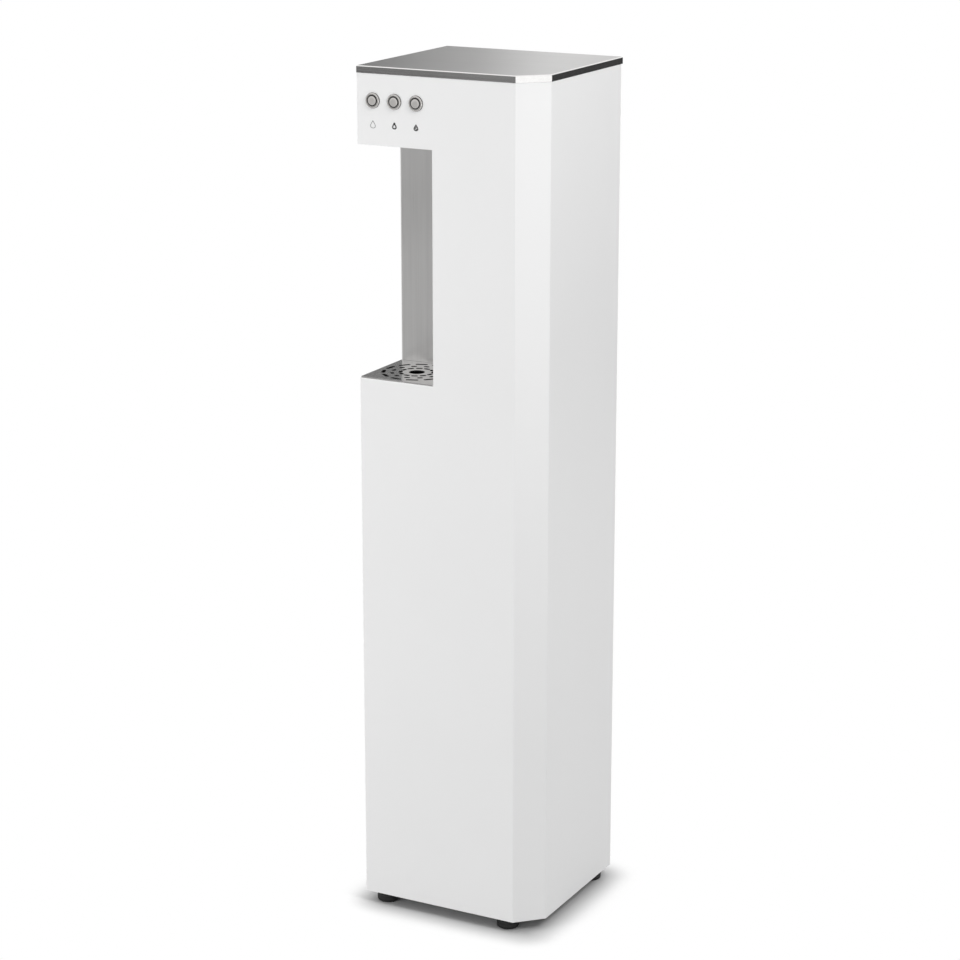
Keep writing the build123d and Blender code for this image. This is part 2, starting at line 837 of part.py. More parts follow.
with BuildPart() as fan_impeller:
    hub_front = duct_front + hub_gap
    rod(hub_radius, hub_length, (0, hub_front, fan_z), (0, 1, 0))
    shaft_start = spoke_front - fan_shaft_depth
    rod(fan_shaft_radius, hub_front - shaft_start, (0, shaft_start, fan_z), (0, 1, 0))
    blade_root = hub_radius - blade
    blade_plane = Plane(origin=(0, hub_front + hub_length / 2, fan_z), z_dir=(0, 1, 0))
    with Locations(blade_plane):
        with PolarLocations((blade_root + blade_radius) / 2, blade_count):
            Box(blade_radius - blade_root, blade_chord, blade, rotation=(blade_pitch, 0, 0))
save(fan_impeller, "fan_impeller")

# Refrigerant line: discharge, liquid line with drier, capillary and suction
suction_z = shelf_z - suction_drop
line_z = suction_z - line_drop
low_run = run_levels[0]
high_run = run_levels[-1]
drier_top = low_run - drier_drop
drier_bottom = drier_top - drier_length
capillary_z = panel_bottom + capillary_level
discharge_x = compressor_x - port_offset
suction_x = compressor_x + port_offset
with BuildPart() as refrigerant_line:
    pipe(
        [
            (discharge_x, compressor_y, shell_top),
            (discharge_x, compressor_y, line_z),
            (line_x, compressor_y, line_z),
            (line_x, condenser_y, line_z),
            (line_x, condenser_y, high_run),
            (-run_end, condenser_y, high_run),
        ],
        condenser_tube_radius,
        line_bend,
    )
    pipe(
        [
            (-run_end, condenser_y, low_run),
            (line_x, condenser_y, low_run),
            (line_x, condenser_y, drier_top),
        ],
        condenser_tube_radius,
        line_bend,
    )
    rod(drier_radius, drier_length, (line_x, condenser_y, drier_bottom))
    pipe(
        [
            (line_x, condenser_y, drier_bottom),
            (line_x, condenser_y, capillary_z),
            (capillary_x, capillary_y, capillary_z),
            (capillary_x, capillary_y, over_tank),
            (tank_left + capillary_end, capillary_y, over_tank),
            (tank_left + capillary_end, capillary_y, cover_top),
        ],
        capillary_radius,
        capillary_bend,
    )
    pipe(
        [
            (suction_x, compressor_y, shell_top),
            (suction_x, compressor_y, suction_z),
            (line_x, compressor_y, suction_z),
            (line_x, compressor_y, over_tank),
            (tank_left + suction_end, compressor_y, over_tank),
            (tank_left + suction_end, compressor_y, cover_top),
        ],
        suction_radius,
        line_bend,
    )
save(refrigerant_line, "refrigerant_line")

# Cooling tank on the shelf, with the evaporator coil and the carbonator inside
tank_limits_x = (tank_left, tank_right)
tank_limits_y = (tank_front, tank_back)
tank_floor = shelf_top + tank_wall
with BuildPart() as cooling_tank:
    block(tank_limits_x, tank_limits_y, (shelf_top, tank_top))
    offset(amount=-tank_wall, openings=cooling_tank.faces().sort_by(Axis.Z)[-1])
save(cooling_tank, "cooling_tank")

with BuildPart() as tank_cover:
    block(tank_limits_x, tank_limits_y, (tank_top, cover_top))
save(tank_cover, "tank_cover")

coil_inset = tank_wall + coil_gap + coil_radius
coil_x = grown(tank_limits_x, -coil_inset)
coil_y = grown(tank_limits_y, -coil_inset)
coil_z = tank_floor + coil_lift
coil_corners = [
    (coil_x[1], coil_y[0]),
    (coil_x[1], coil_y[1]),
    (coil_x[0], coil_y[1]),
    (coil_x[0], coil_y[0]),
]
start_x = coil_x[0] + coil_lead
coil_route = [
    (start_x, coil_y[0] + coil_lead, tank_top),
    (start_x, coil_y[0] + coil_lead, coil_z),
    (start_x, coil_y[0], coil_z),
]
for i in range(coil_loops * len(coil_corners)):
    x, y = coil_corners[i % len(coil_corners)]
    coil_route.append((x, y, coil_z + (i + 1) * coil_pitch / len(coil_corners)))
end_z = coil_route[-1][2]
coil_route += [
    (tank_x, coil_y[0], end_z),
    (tank_x, coil_y[0] + coil_lead, end_z),
    (tank_x, coil_y[0] + coil_lead, tank_top),
]
with BuildPart() as evaporator_coil:
    pipe(coil_route, coil_radius, coil_bend)
save(evaporator_coil, "evaporator_coil")

with BuildPart() as carbonator:
    rod(carbonator_radius, carbonator_height, (tank_x, tank_y, tank_floor))
    fillet(carbonator.edges().filter_by(GeomType.CIRCLE), radius=carbonator_round)
save(carbonator, "carbonator")

with BuildPart() as carbonator_pump:
    head_x = grown((pump_x, pump_x), pump_head / 2)
    head_y = grown((pump_y, pump_y), pump_head / 2)
    block(head_x, head_y, (pan_top, pan_top + pump_head_height))
    fillet(carbonator_pump.edges().filter_by(Axis.Z), radius=pump_round)
    rod(pump_radius, pump_height, (pump_x, pump_y, pan_top + pump_head_height))
save(carbonator_pump, "carbonator_pump")

# Gas cylinder with strap, valve, regulator and knob
gas_tube_z = shelf_z - gas_tube_room
outlet_z = gas_tube_z - gas_tube_rise
regulator_z = outlet_z - regulator_radius
valve_z = regulator_z - valve_body_height / 2
gas_top = valve_z - gas_neck
with BuildPart() as gas_cylinder:
    rod(gas_radius, gas_top - pan_top, (gas_x, gas_y, pan_top))
    fillet(gas_cylinder.edges().group_by(Axis.Z)[-1], radius=gas_shoulder)
    fillet(gas_cylinder.edges().group_by(Axis.Z)[0], radius=gas_heel)
    rod(gas_neck_radius, gas_neck, (gas_x, gas_y, gas_top))
save(gas_cylinder, "gas_cylinder")

strap_z = gas_top - gas_shoulder - strap_drop
with BuildPart() as cylinder_strap:
    rod(gas_radius + fit + sheet, strap_width, (gas_x, gas_y, strap_z))
    ear_y = grown((gas_y, gas_y), sheet)
    block((gas_x, inner_right), ear_y, (strap_z, strap_z + strap_width))
    foot_y = grown((gas_y, gas_y), strap_foot / 2)
    block((inner_right - sheet, inner_right), foot_y, (strap_z, strap_z + strap_width))
    rod(gas_radius + fit, strap_width, (gas_x, gas_y, strap_z), mode=Mode.SUBTRACT)
save(cylinder_strap, "cylinder_strap")

link_x = gas_x - valve_body_radius - regulator_link
regulator_end = link_x - regulator_length
with BuildPart() as gas_regulator:
    rod(regulator_radius, regulator_length, (link_x, gas_y, regulator_z), (-1, 0, 0))
    fillet(gas_regulator.edges().filter_by(GeomType.CIRCLE), radius=regulator_round)
    rod(valve_body_radius, valve_body_height, (gas_x, gas_y, valve_z))
    rod(regulator_link_radius, gas_x - link_x, (link_x, gas_y, regulator_z), (1, 0, 0))
    shaft_end = (regulator_end, gas_y, regulator_z)
    bore_depth = knob_shaft_depth + fit
    rod(knob_shaft_radius + running, bore_depth, shaft_end, (1, 0, 0), Mode.SUBTRACT)
save(gas_regulator, "gas_regulator")

with BuildPart() as regulator_knob:
    knob_face = (regulator_end - knob_gap, gas_y, regulator_z)
    rod(knob_radius, knob_length, knob_face, (-1, 0, 0))
    fillet(regulator_knob.edges().group_by(Axis.X)[0], radius=regulator_round)
    rod(knob_shaft_radius, knob_shaft_depth + knob_gap, knob_face, (1, 0, 0))
save(regulator_knob, "regulator_knob")

with BuildPart() as gas_tube:
    outlet_x = link_x - regulator_length / 2
    pipe(
        [
            (outlet_x, gas_y, outlet_z),
            (outlet_x, gas_y, gas_tube_z),
            (gas_tube_x, gas_y, gas_tube_z),
            (gas_tube_x, gas_y, over_tank),
            (tank_right - gas_tube_end, gas_y, over_tank),
            (tank_right - gas_tube_end, gas_y, cover_top),
        ],
        gas_tube_radius,
        tube_bend,
    )
save(gas_tube, "gas_tube")

# Filter head on the right panel, with the cartridge that twists into it
filter_x = inner_right - filter_side
filter_y = front + filter_front
head_z = panel_top - filter_drop
head_top = head_z + filter_head_height
with BuildPart() as filter_head:
    rod(filter_head_radius, filter_head_height, (filter_x, filter_y, head_z))
    ear_y = grown((filter_y, filter_y), filter_ear_width / 2)
    block((filter_x, inner_right), ear_y, (head_top - filter_ear_height, head_top))
    socket_foot = (filter_x, filter_y, head_z)
    rod(filter_neck_radius + running, filter_neck + fit, socket_foot, mode=Mode.SUBTRACT)
save(filter_head, "filter_head")

with BuildPart() as filter_cartridge:
    bowl_top = (filter_x, filter_y, head_z - fit)
    rod(filter_radius, filter_length, bowl_top, (0, 0, -1))
    fillet(filter_cartridge.edges().filter_by(GeomType.CIRCLE), radius=filter_round)
    rod(filter_neck_radius, filter_neck, bowl_top)
save(filter_cartridge, "filter_cartridge")

# Valves on their bracket, between the tank and the nozzle manifold
valve_y = niche_back + valve_setback
spigot_z = riser_top + valve_rise
valve_low = spigot_z - valve_height / 2
valve_front = valve_y - valve_depth
spigot_front = valve_front - spigot_length
spigot_back = valve_y + spigot_length
with BuildPart() as valve_bracket:
    plate_z_limits = (valve_low, valve_low + valve_plate_height)
    plate_right = valve_places[-1] + valve_plate_margin
    block((inner_left, plate_right), (valve_y, valve_y + sheet), plate_z_limits)
    foot_y = (valve_y, valve_y + valve_bracket_foot)
    block((inner_left, inner_left + sheet), foot_y, plate_z_limits)
    for x in valve_places:
        rod(spigot_radius + fit, sheet, (x, valve_y, spigot_z), (0, 1, 0), Mode.SUBTRACT)
save(valve_bracket, "valve_bracket")

with BuildPart() as solenoid_valves:
    for x in valve_places:
        body_x = grown((x, x), valve_width / 2)
        coil_limits_x = grown(body_x, -valve_coil_inset)
        coil_limits_y = (valve_front, valve_y - valve_coil_inset)
        coil_base = valve_low + valve_height
        block(body_x, (valve_front, valve_y), (valve_low, coil_base))
        block(coil_limits_x, coil_limits_y, (coil_base, coil_base + valve_coil_height))
        rod(spigot_radius, spigot_back - spigot_front, (x, spigot_front, spigot_z), (0, 1, 0))
save(solenoid_valves, "solenoid_valves")

# Water tubes: inlet to filter, filter to tank, pump to tank, tank to valves to nozzle
inlet_end = inner_back - inlet_length
port_z = head_top + tube_rise
supply_y = spigot_back + supply_gap
filtered_y = back - filtered_tube_back
pump_top = pan_top + pump_head_height + pump_height
pump_tube_z = shelf_z - pump_tube_drop
with BuildPart() as water_tubes:
    pipe(
        [
            (inlet_x, inlet_end, inlet_z),
            (inlet_x, inlet_tube_y, inlet_z),
            (inlet_tube_x, inlet_tube_y, inlet_z),
            (inlet_tube_x, inlet_tube_y, port_z),
            (filter_x + filter_port_offset, inlet_tube_y, port_z),
            (filter_x + filter_port_offset, filter_y, port_z),
            (filter_x + filter_port_offset, filter_y, head_top),
        ],
        tube_radius,
        tube_bend,
    )
    pipe(
        [
            (filter_x - filter_port_offset, filter_y, head_top),
            (filter_x - filter_port_offset, filter_y, port_z),
            (filter_x - filter_port_offset, filtered_y, port_z),
            (filter_x - filter_port_offset, filtered_y, cover_top),
        ],
        tube_radius,
        tube_bend,
    )
    pipe(
        [
            (pump_x, pump_y, pump_top),
            (pump_x, pump_y, pump_tube_z),
            (pump_tube_x, pump_y, pump_tube_z),
            (pump_tube_x, pump_y, over_tank),
            (tank_left + pump_tube_end, pump_y, over_tank),
            (tank_left + pump_tube_end, pump_y, cover_top),
        ],
        tube_radius,
        tube_bend,
    )
    for x in valve_places:
        pipe(
            [
                (x, supply_y, cover_top),
                (x, supply_y, spigot_z),
                (x, spigot_back, spigot_z),
            ],
            tube_radius,
            tube_bend,
        )
        pipe(
            [
                (x, spigot_front, spigot_z),
                (x, niche_y, spigot_z),
                (x, niche_y, riser_top),
            ],
            tube_radius,
            tube_bend,
        )
save(water_tubes, "water_tubes")

# Water inlet: push-in bulkhead fitting through the rear panel
with BuildPart() as water_inlet:
    rod(inlet_flange_radius, inlet_flange, (inlet_x, back, inlet_z), (0, 1, 0))
    rod(inlet_radius, back - inlet_end, (inlet_x, inlet_end, inlet_z), (0, 1, 0))
    mouth = (inlet_x, back + inlet_flange, inlet_z)
    rod(inlet_bore, inlet_bore_depth, mouth, (0, -1, 0), Mode.SUBTRACT)
save(water_inlet, "water_inlet")

# Power inlet: flanged body with a recessed socket and a bay for the rocker
power_face = back + power_flange
socket_x = power_x + socket_offset
switch_x = power_x - switch_offset
rocker_y = back - rocker_sink
with BuildPart() as power_inlet:
    flange_x = grown((power_x, power_x), power_flange_width / 2)
    flange_z = grown((power_z, power_z), power_flange_height / 2)
    block(flange_x, (back, power_face), flange_z)
    fillet(power_inlet.edges().filter_by(Axis.Y), radius=power_flange_round)
    block((power_left, power_right), (back - power_body_depth, back), (power_low, power_high))
    socket_limits_x = grown((socket_x, socket_x), socket_width / 2)
    socket_limits_z = grown((power_z, power_z), socket_height / 2)
    socket_back = power_face - socket_depth
    block(socket_limits_x, (socket_back, power_face), socket_limits_z, Mode.SUBTRACT)
    bay_x = grown((switch_x, switch_x), rocker_width / 2 + rocker_gap)
    bay_z = grown((power_z, power_z), rocker_height / 2 + rocker_gap)
    block(bay_x, (power_face - switch_depth - power_flange, power_face), bay_z, Mode.SUBTRACT)
    pin_length = rocker_width + 2 * (rocker_gap + rocker_pin_reach + fit)
    pin_foot = (switch_x - pin_length / 2, rocker_y, power_z)
    rod(rocker_pin_radius + running, pin_length, pin_foot, (1, 0, 0), Mode.SUBTRACT)
save(power_inlet, "power_inlet")

with BuildPart() as power_contacts:
    contact_y = (socket_back, socket_back + contact_length)
    for step, rise in ((-1, -contact_rise), (0, contact_rise), (1, -contact_rise)):
        contact_x = socket_x + step * contact_spread
        contact_z = power_z + rise
        contact_limits_x = grown((contact_x, contact_x), contact_width / 2)
        contact_limits_z = grown((contact_z, contact_z), contact_height / 2)
        block(contact_limits_x, contact_y, contact_limits_z)
save(power_contacts, "power_contacts")

# Rocker: a shallow V on a cross pin, drawn level and then tilted to its off position
with BuildPart() as power_rocker:
    with BuildSketch(Plane.YZ.offset(-rocker_width / 2)):
        with BuildLine():
            Polyline(
                (rocker_rise, rocker_height / 2),
                (0, 0),
                (rocker_rise, -rocker_height / 2),
                (rocker_rise - rocker_thickness, -rocker_height / 2 + rocker_gap),
                (rocker_rise - rocker_thickness, rocker_height / 2 - rocker_gap),
                close=True,
            )
        make_face()
    extrude(amount=rocker_width)
    rocker_pin = rocker_width + 2 * (rocker_gap + rocker_pin_reach)
    rod(rocker_pin_radius, rocker_pin, (-rocker_pin / 2, 0, 0), (1, 0, 0))
power_rocker.part = power_rocker.part.rotate(Axis.X, rocker_tilt).moved(
    Location((switch_x, rocker_y, power_z))
)
save(power_rocker, "power_rocker")

# Control box on the right panel, with its board on standoffs
control_y = back - control_back
control_z = panel_top - control_drop
control_limits_y = (control_y, control_y + control_depth)
control_limits_z = (control_z, control_z + control_height)
with BuildPart() as control_box:
    block((inner_right - control_width, inner_right), control_limits_y, control_limits_z)
    offset(amount=-control_wall, openings=control_box.faces().sort_by(Axis.X)[0])
save(control_box, "control_box")

with BuildPart() as control_board:
    board_inset = control_wall + board_margin
    board_y = grown(control_limits_y, -board_inset)
    board_z = grown(control_limits_z, -board_inset)
    board_back = inner_right - control_wall - standoff_height
    block((board_back - board, board_back), board_y, board_z)
    standoff_inset = board_inset + 2 * standoff_radius
    for y in grown(control_limits_y, -standoff_inset):
        for z in grown(control_limits_z, -standoff_inset):
            rod(standoff_radius, standoff_height, (board_back, y, z), (1, 0, 0))
    relay_x = (board_back - board - relay_height, board_back - board)
    relay_y = grown((control_y + control_depth / 2,) * 2, relay_size / 2)
    for i in (-1, 0, 1):
        relay_z = control_z + control_height / 2 + i * 2 * relay_size
        block(relay_x, relay_y, grown((relay_z, relay_z), relay_size / 2))
save(control_board, "control_board")
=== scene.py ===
"""Water cooler: finishes, fine parts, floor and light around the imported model.

Everything is in metres, in the model's own frame: +Z is up, the front faces -Y and
+X is to the viewer's right.
"""

import json
from math import cos, pi, radians, sin

import bmesh
import bpy
from mathutils import Matrix, Vector


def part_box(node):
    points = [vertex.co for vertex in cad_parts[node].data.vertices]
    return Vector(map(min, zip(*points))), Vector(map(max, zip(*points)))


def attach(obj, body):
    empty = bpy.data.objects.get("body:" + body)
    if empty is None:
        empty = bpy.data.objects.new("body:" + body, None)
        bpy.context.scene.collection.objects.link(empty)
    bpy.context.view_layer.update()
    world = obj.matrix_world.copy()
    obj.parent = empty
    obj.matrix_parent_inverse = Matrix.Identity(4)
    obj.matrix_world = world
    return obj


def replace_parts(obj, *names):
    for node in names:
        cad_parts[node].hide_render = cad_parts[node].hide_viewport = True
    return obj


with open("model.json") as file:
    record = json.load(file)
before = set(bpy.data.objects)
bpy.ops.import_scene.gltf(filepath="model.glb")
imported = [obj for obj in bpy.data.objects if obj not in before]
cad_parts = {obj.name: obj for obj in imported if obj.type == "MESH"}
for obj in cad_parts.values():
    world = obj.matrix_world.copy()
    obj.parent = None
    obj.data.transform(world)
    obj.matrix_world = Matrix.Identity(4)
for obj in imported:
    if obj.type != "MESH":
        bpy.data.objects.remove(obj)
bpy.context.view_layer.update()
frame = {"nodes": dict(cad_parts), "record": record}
nodes = frame["nodes"]
scene = bpy.context.scene
MM = 0.001

DRINKS = ("ambient", "chilled", "sparkling")
CORNERS = ("front_left", "front_right", "rear_left", "rear_right")

# Camera, from the corners of the body in the photograph
IMAGE_SIZE = 960
FOCAL_PIXELS = 2704.9
SENSOR = 36.0
CAMERA_PLACE = (1.758, -3.355, 1.709)
CAMERA_YAW = 27.89
CAMERA_PITCH = 15.72

# Meshes: the turn between two faces above which their edge is sharp, and joining limits
SMOOTH_TURN = radians(35)
FLAT_TURN = radians(3)
LEVEL_TURN = radians(1)
JOIN_DISTANCE = 0.002 * MM
SEAM_DISTANCE = 0.001 * MM

# Push buttons. A steel is a brightness and a roughness. The normals of the bezel's side
# point forward by less than BEZEL_SIDE_FACING, and that side gets a darker steel, a painted
# shade.
BUTTON_STEPS = 96
BEZEL_ROUND = (2.0 * MM, 2.1 * MM)
BEZEL_ROUND_STEPS = 10
BEZEL_LIP = 0.25 * MM
BEZEL_EDGE = 0.12 * MM
BEZEL_SIDE_FACING = 0.6
BEZEL_STEEL = (0.60, 0.10)
CAP_CLEARANCE = 0.06 * MM
CAP_BORE_DEPTH = 10.0 * MM
CAP_SHOULDER = 6.2 * MM
CAP_DISH = 0.12 * MM
CAP_EDGE = 0.06 * MM
CAP_STEEL = (0.66, 0.30)
RING_RECESS = 0.3 * MM
RING_DEPTH = 1.4 * MM
BARREL_RADIUS = 9.4 * MM
TERMINAL_RADIUS = 1.2 * MM
TERMINAL_LENGTH = 6.0 * MM
TERMINAL_OFFSET = 4.0 * MM
TERMINAL_STEPS = 16

# Printed marks. A bubble is an offset to the right, an offset up and a radius.
PRINT_THICKNESS = 0.15 * MM
MARK_DROP = 33.0 * MM
DROP_WIDENING = 1.38
DROP_POINT = 1.3
DROP_STEPS = 40
BUBBLE_STEPS = 20
BUBBLES = (
    (-1.1 * MM, -2.2 * MM, 0.75 * MM),
    (0.9 * MM, -1.2 * MM, 0.9 * MM),
    (0.2 * MM, 0.9 * MM, 0.55 * MM),
)

# Lid and grille. A face is told by the upward part of its normal.
LID_SIDE_RISE = 0.1
LID_TOP_RISE = 0.95
SLOT_WALL_RISE = 0.5
SLOT_CHAMFER = 0.9 * MM
SLOT_RIM_DEPTH = 0.1 * MM
GRILLE_BORDER = 2.0 * MM

# Nozzle. The groove's mouth and floor are half widths about its height over the tip.
NOZZLE_RADIUS = 8.0 * MM
NOZZLE_BORE = 5.0 * MM
NOZZLE_BORE_EDGE = 0.5 * MM
NOZZLE_TIP_EDGE = 1.0 * MM
NOZZLE_GROOVE_RISE = 4.0 * MM
NOZZLE_GROOVE_MOUTH = 1.0 * MM
NOZZLE_GROOVE_FLOOR = 0.4 * MM
NOZZLE_GROOVE_DEPTH = 0.8 * MM

# Levelling feet
PAD_STEPS = 72
PAD_HEEL = 3.0 * MM
PAD_HEEL_STEPS = 6
PAD_HOLLOW = 0.8 * MM
PAD_GROOVE = 0.5 * MM
PAD_GROOVE_SHARE = 0.62
PAD_TOP_EDGE = 1.0 * MM
PIN_RADIUS = 4.0 * MM
PIN_BORE_RADIUS = 4.06 * MM
PIN_BORE_DEPTH = 8.0 * MM
COLLAR_HEIGHT = 3.5 * MM
COLLAR_SIDES = 6
STUD_STEPS = 32
STUD_EDGE = 0.2 * MM
STUD_END_EDGE = 0.5 * MM
THREAD_RADIUS = 5.0 * MM
THREAD_PITCH = 1.5 * MM
THREAD_DEPTH = 0.8 * MM
THREAD_START = 0.5 * MM
THREAD_RUN_OUT = 2.0 * MM
THREAD_SINK = 0.1 * MM
THREAD_GAP = 0.05 * MM
THREAD_TURN_STEPS = 24

# Floor. The shadow lies round a core under the cooler and fades out into white. Near the cooler
# the floor's own grey also darkens, a painted shadow.
FLOOR_RADIUS = 14.0
FLOOR_SIDES = 96
FLOOR_CORE = (0.12, 0.115, 0.0)
FLOOR_FADE = (0.02, 0.08)
FLOOR_BOUNCE = 0.45
# Painted shadow in the floor's grey: the distance it reaches, its grey at the cooler and its grey
# at that distance.
PAINTED_SHADOW_REACH = 0.06
PAINTED_SHADOW_NEAR = 0.50
PAINTED_SHADOW_FAR = 0.95

# Light of the room, and lamps: place, target, size and power in watts
AMBIENT = 0.64
SOFTBOXES = {
    "overhead_box": ((0.2, -0.3, 3.6), (0, 0, 0.6), (2.4, 2.0), 18.0),
    "front_box": ((-1.3, -2.0, 0.80), (-0.05, -0.13, 0.70), (1.0, 1.2), 18.0),
    "side_box": ((1.9, -0.7, 2.5), (0.1, 0, 1.1), (1.0, 1.0), 30.0),
    "rear_box": ((-1.6, 2.2, 1.3), (0, 0.1, 0.7), (1.4, 1.4), 16.0),
}

# Cards that the metal reflects: middle, width and height, the axis along which the tone
# changes, and the tone's stops, each a position on that axis and a level
LID_GLOW = (
    (-0.68, 0.08),
    (-0.50, 0.46),
    (-0.47, 0.46),
    (-0.36, 1.05),
    (-0.28, 1.05),
    (-0.08, 0.45),
)
CARDS = {
    "front_card": ((-1.10, -2.10, 0.48), (1.5, 0.84), "Z", ((0.60, 0.44), (0.90, 0.16))),
    "rim_card": ((-1.06, -2.03, 0.96), (0.9, 0.12), "X", ((-1.25, 0.18), (-0.98, 0.50))),
    "rear_card": ((1.10, 2.10, 0.62), (1.5, 1.1), "Z", ((0.1, 0.06), (1.1, 0.12))),
    "right_card": ((2.00, 0.55, 0.80), (1.2, 1.2), "Z", ((0.1, 0.05), (1.3, 0.10))),
    "left_card": ((-1.50, -0.10, 1.95), (0.9, 0.8), "Z", ((1.5, 0.12), (2.4, 0.20))),
    "facet_card": ((1.70, -0.95, 0.70), (0.7, 0.9), "Z", ((0.1, 2.7), (1.1, 2.8))),
    "lid_card": ((-0.45, 0.85, 1.72), (1.3, 0.8), "X", LID_GLOW),
    "tray_card": ((-0.65, 0.85, 1.02), (0.9, 0.5), "Z", ((0.8, 0.20), (1.3, 0.25))),
}


class Wire:
    """An output socket of a node tree. Python operators on it add Math nodes."""

    def __init__(self, tree, socket=None):
        self.tree = tree
        self.socket = socket

    def node(self, kind, inputs, output=0, **settings):
        """Add a node: its settings first, then the values or links of its sockets."""
        made = self.tree.nodes.new("ShaderNode" + kind)
        for name, value in settings.items():
            setattr(made, name, value)
        for name, value in inputs.items():
            if isinstance(value, Wire):
                self.tree.links.new(value.socket, made.inputs[name])
            else:
                made.inputs[name].default_value = value
        return Wire(self.tree, made.outputs[output] if made.outputs else None)

    def math(self, operation, first, second):
        """Two numbers, put through a Math operation."""
        return self.node("Math", {0: first, 1: second}, operation=operation)

    def __add__(self, other):
        return self.math("ADD", self, other)

    __radd__ = __add__

    def __mul__(self, other):
        return self.math("MULTIPLY", self, other)

    __rmul__ = __mul__

    def vector(self, operation, second=(0.0, 0.0, 0.0)):
        """This vector and a second one, put through a Vector Math operation."""
        return self.node("VectorMath", {0: self, 1: second}, operation=operation)

    def length(self):
        """Length of this vector."""
        return self.node("VectorMath", {0: self}, "Value", operation="LENGTH")

    def noise(self, scale, detail=2.0, stretch=(1.0, 1.0, 1.0)):
        """Noise from 0 to 1 at this place, with scale features in a metre."""
        place = self.node("Mapping", {"Vector": self, "Scale": stretch})
        return self.node("TexNoise", {"Vector": place, "Scale": scale, "Detail": detail})

    def steps(self, low, high, interpolation="LINEAR"):
        """This value, rescaled so that low becomes 0 and high becomes 1, and held there."""
        limits = {"Value": self, "From Min": low, "From Max": high}
        return self.node("MapRange", limits, interpolation_type=interpolation)

    def between(self, low, high):
        """Colour that runs from low to high as this value runs from 0 to 1."""
        factor, first, second, result = 0, 6, 7, 2
        ends = {factor: self, first: low, second: high}
        return self.node("Mix", ends, result, data_type="RGBA")

    def bump(self, strength, distance):
        """Normal bent by this value taken as a height."""
        return self.node("Bump", {"Height": self, "Strength": strength, "Distance": distance})


def grey(level, warmth=0.0):
    """Grey of a linear level, warmer or cooler by a small share."""
    return (level * (1 + warmth), level, level * (1 - warmth), 1.0)


def material(name, shader):
    """Material whose shader is a function of the place on the object."""
    made = bpy.data.materials.new(name)
    made.use_nodes = True
    tree = made.node_tree
    tree.nodes.clear()
    place = Wire(tree).node("TexCoord", {}, "Object")
    place.node("OutputMaterial", {"Surface": shader(place)})
    return made


def finish(name, recipe):
    """Material of a piece, whose shader inputs come from recipe, a function of the place."""
    return material(name, lambda place: place.node("BsdfPrincipled", recipe(place)))


# Finishes

def powder_coat(place):
    """Satin white powder coat: a fine orange peel and a faint cloudiness."""
    peel = place.noise(700.0, 1.0)
    cloud = place.noise(5.0, 3.0)
    return {
        "Base Color": cloud.between(grey(0.83), grey(0.86)),
        "Roughness": 0.33 + 0.08 * cloud + 0.05 * peel,
        "Specular IOR Level": 0.4,
        "Normal": peel.bump(0.05, 0.1 * MM),
    }


def brushed_steel(along, level, roughness):
    """Brushed steel whose scratches run along one axis, 0 for X, 1 for Y and 2 for Z."""
    stretch = [1.0, 1.0, 1.0]
    stretch[along] = 0.006

    def recipe(place):
        fine = place.noise(1500.0, 2.0, stretch)
        broad = place.noise(150.0, 3.0, stretch)
        cloud = place.noise(8.0, 2.0)
        tone = 0.55 * fine + 0.45 * broad
        return {
            "Base Color": tone.between(grey(level * 0.82, 0.01), grey(level * 1.15, 0.01)),
            "Metallic": 1.0,
            "Roughness": roughness + 0.14 * fine + 0.08 * cloud,
            "Normal": tone.bump(0.10, 0.15 * MM),
        }

    return recipe


def turned_steel(centre, level, roughness):
    """Turned steel with fine rings about an axis along Y through centre."""
    across = (1.0, 0.0, 1.0)
    ring_rate = 14000.0

    def recipe(place):
        radius = place.vector("SUBTRACT", centre).vector("MULTIPLY", across).length()
        rings = place.math("SINE", radius * ring_rate, 0.0)
        cloud = place.noise(260.0, 2.0)
        tone = 0.5 + 0.25 * rings
        return {
            "Base Color": tone.between(grey(level * 0.85, 0.03), grey(level, 0.03)),
            "Metallic": 1.0,
            "Roughness": roughness + 0.10 * cloud + 0.03 * rings,
            "Normal": rings.bump(0.06, 0.05 * MM),
        }

    return recipe


def moulded(colour, roughness, grain, depth):
    """Moulded plastic or rubber with a fine spark-eroded grain."""

    def recipe(place):
        skin = place.noise(grain, 2.0)
        cloud = place.noise(14.0, 2.0)
        dark = tuple(0.8 * channel for channel in colour[:3]) + (1.0,)
        return {
            "Base Color": (0.6 * cloud + 0.4 * skin).between(dark, colour),
            "Roughness": roughness + 0.12 * cloud + 0.08 * skin,
            "Normal": skin.bump(depth, 0.12 * MM),
        }

    return recipe


def metal(colour, roughness, stain, stain_scale):
    """Plain metal with a stain that follows soft patches, and a faint drawn grain."""

    def recipe(place):
        patch = place.noise(stain_scale, 4.0).steps(0.35, 0.7)
        grain = place.noise(900.0, 2.0)
        return {
            "Base Color": patch.between(colour, stain),
            "Metallic": 1.0,
            "Roughness": roughness + 0.18 * patch + 0.06 * grain,
            "Normal": grain.bump(0.05, 0.1 * MM),
        }

    return recipe


def galvanised(place):
    """Zinc coated sheet with its crystal spangle."""
    cells = place.node("TexVoronoi", {"Vector": place, "Scale": 95.0}, "Color")
    spangle = place.node("SeparateColor", {"Color": cells})
    grain = place.noise(900.0, 2.0)
    return {
        "Base Color": spangle.between(grey(0.42, -0.02), grey(0.60, -0.01)),
        "Metallic": 1.0,
        "Roughness": 0.30 + 0.22 * spangle + 0.05 * grain,
        "Normal": grain.bump(0.06, 0.1 * MM),
    }


def enamel(colour, roughness):
    """Glossy paint with a slight run in it."""

    def recipe(place):
        wave = place.noise(40.0, 2.0)
        speck = place.noise(1200.0, 1.0)
        light = tuple(min(1.0, 1.12 * channel) for channel in colour[:3]) + (1.0,)
        return {
            "Base Color": wave.between(colour, light),
            "Roughness": roughness + 0.10 * wave,
            "Coat Weight": 0.3,
            "Normal": (wave + 0.3 * speck).bump(0.04, 0.2 * MM),
        }

    return recipe


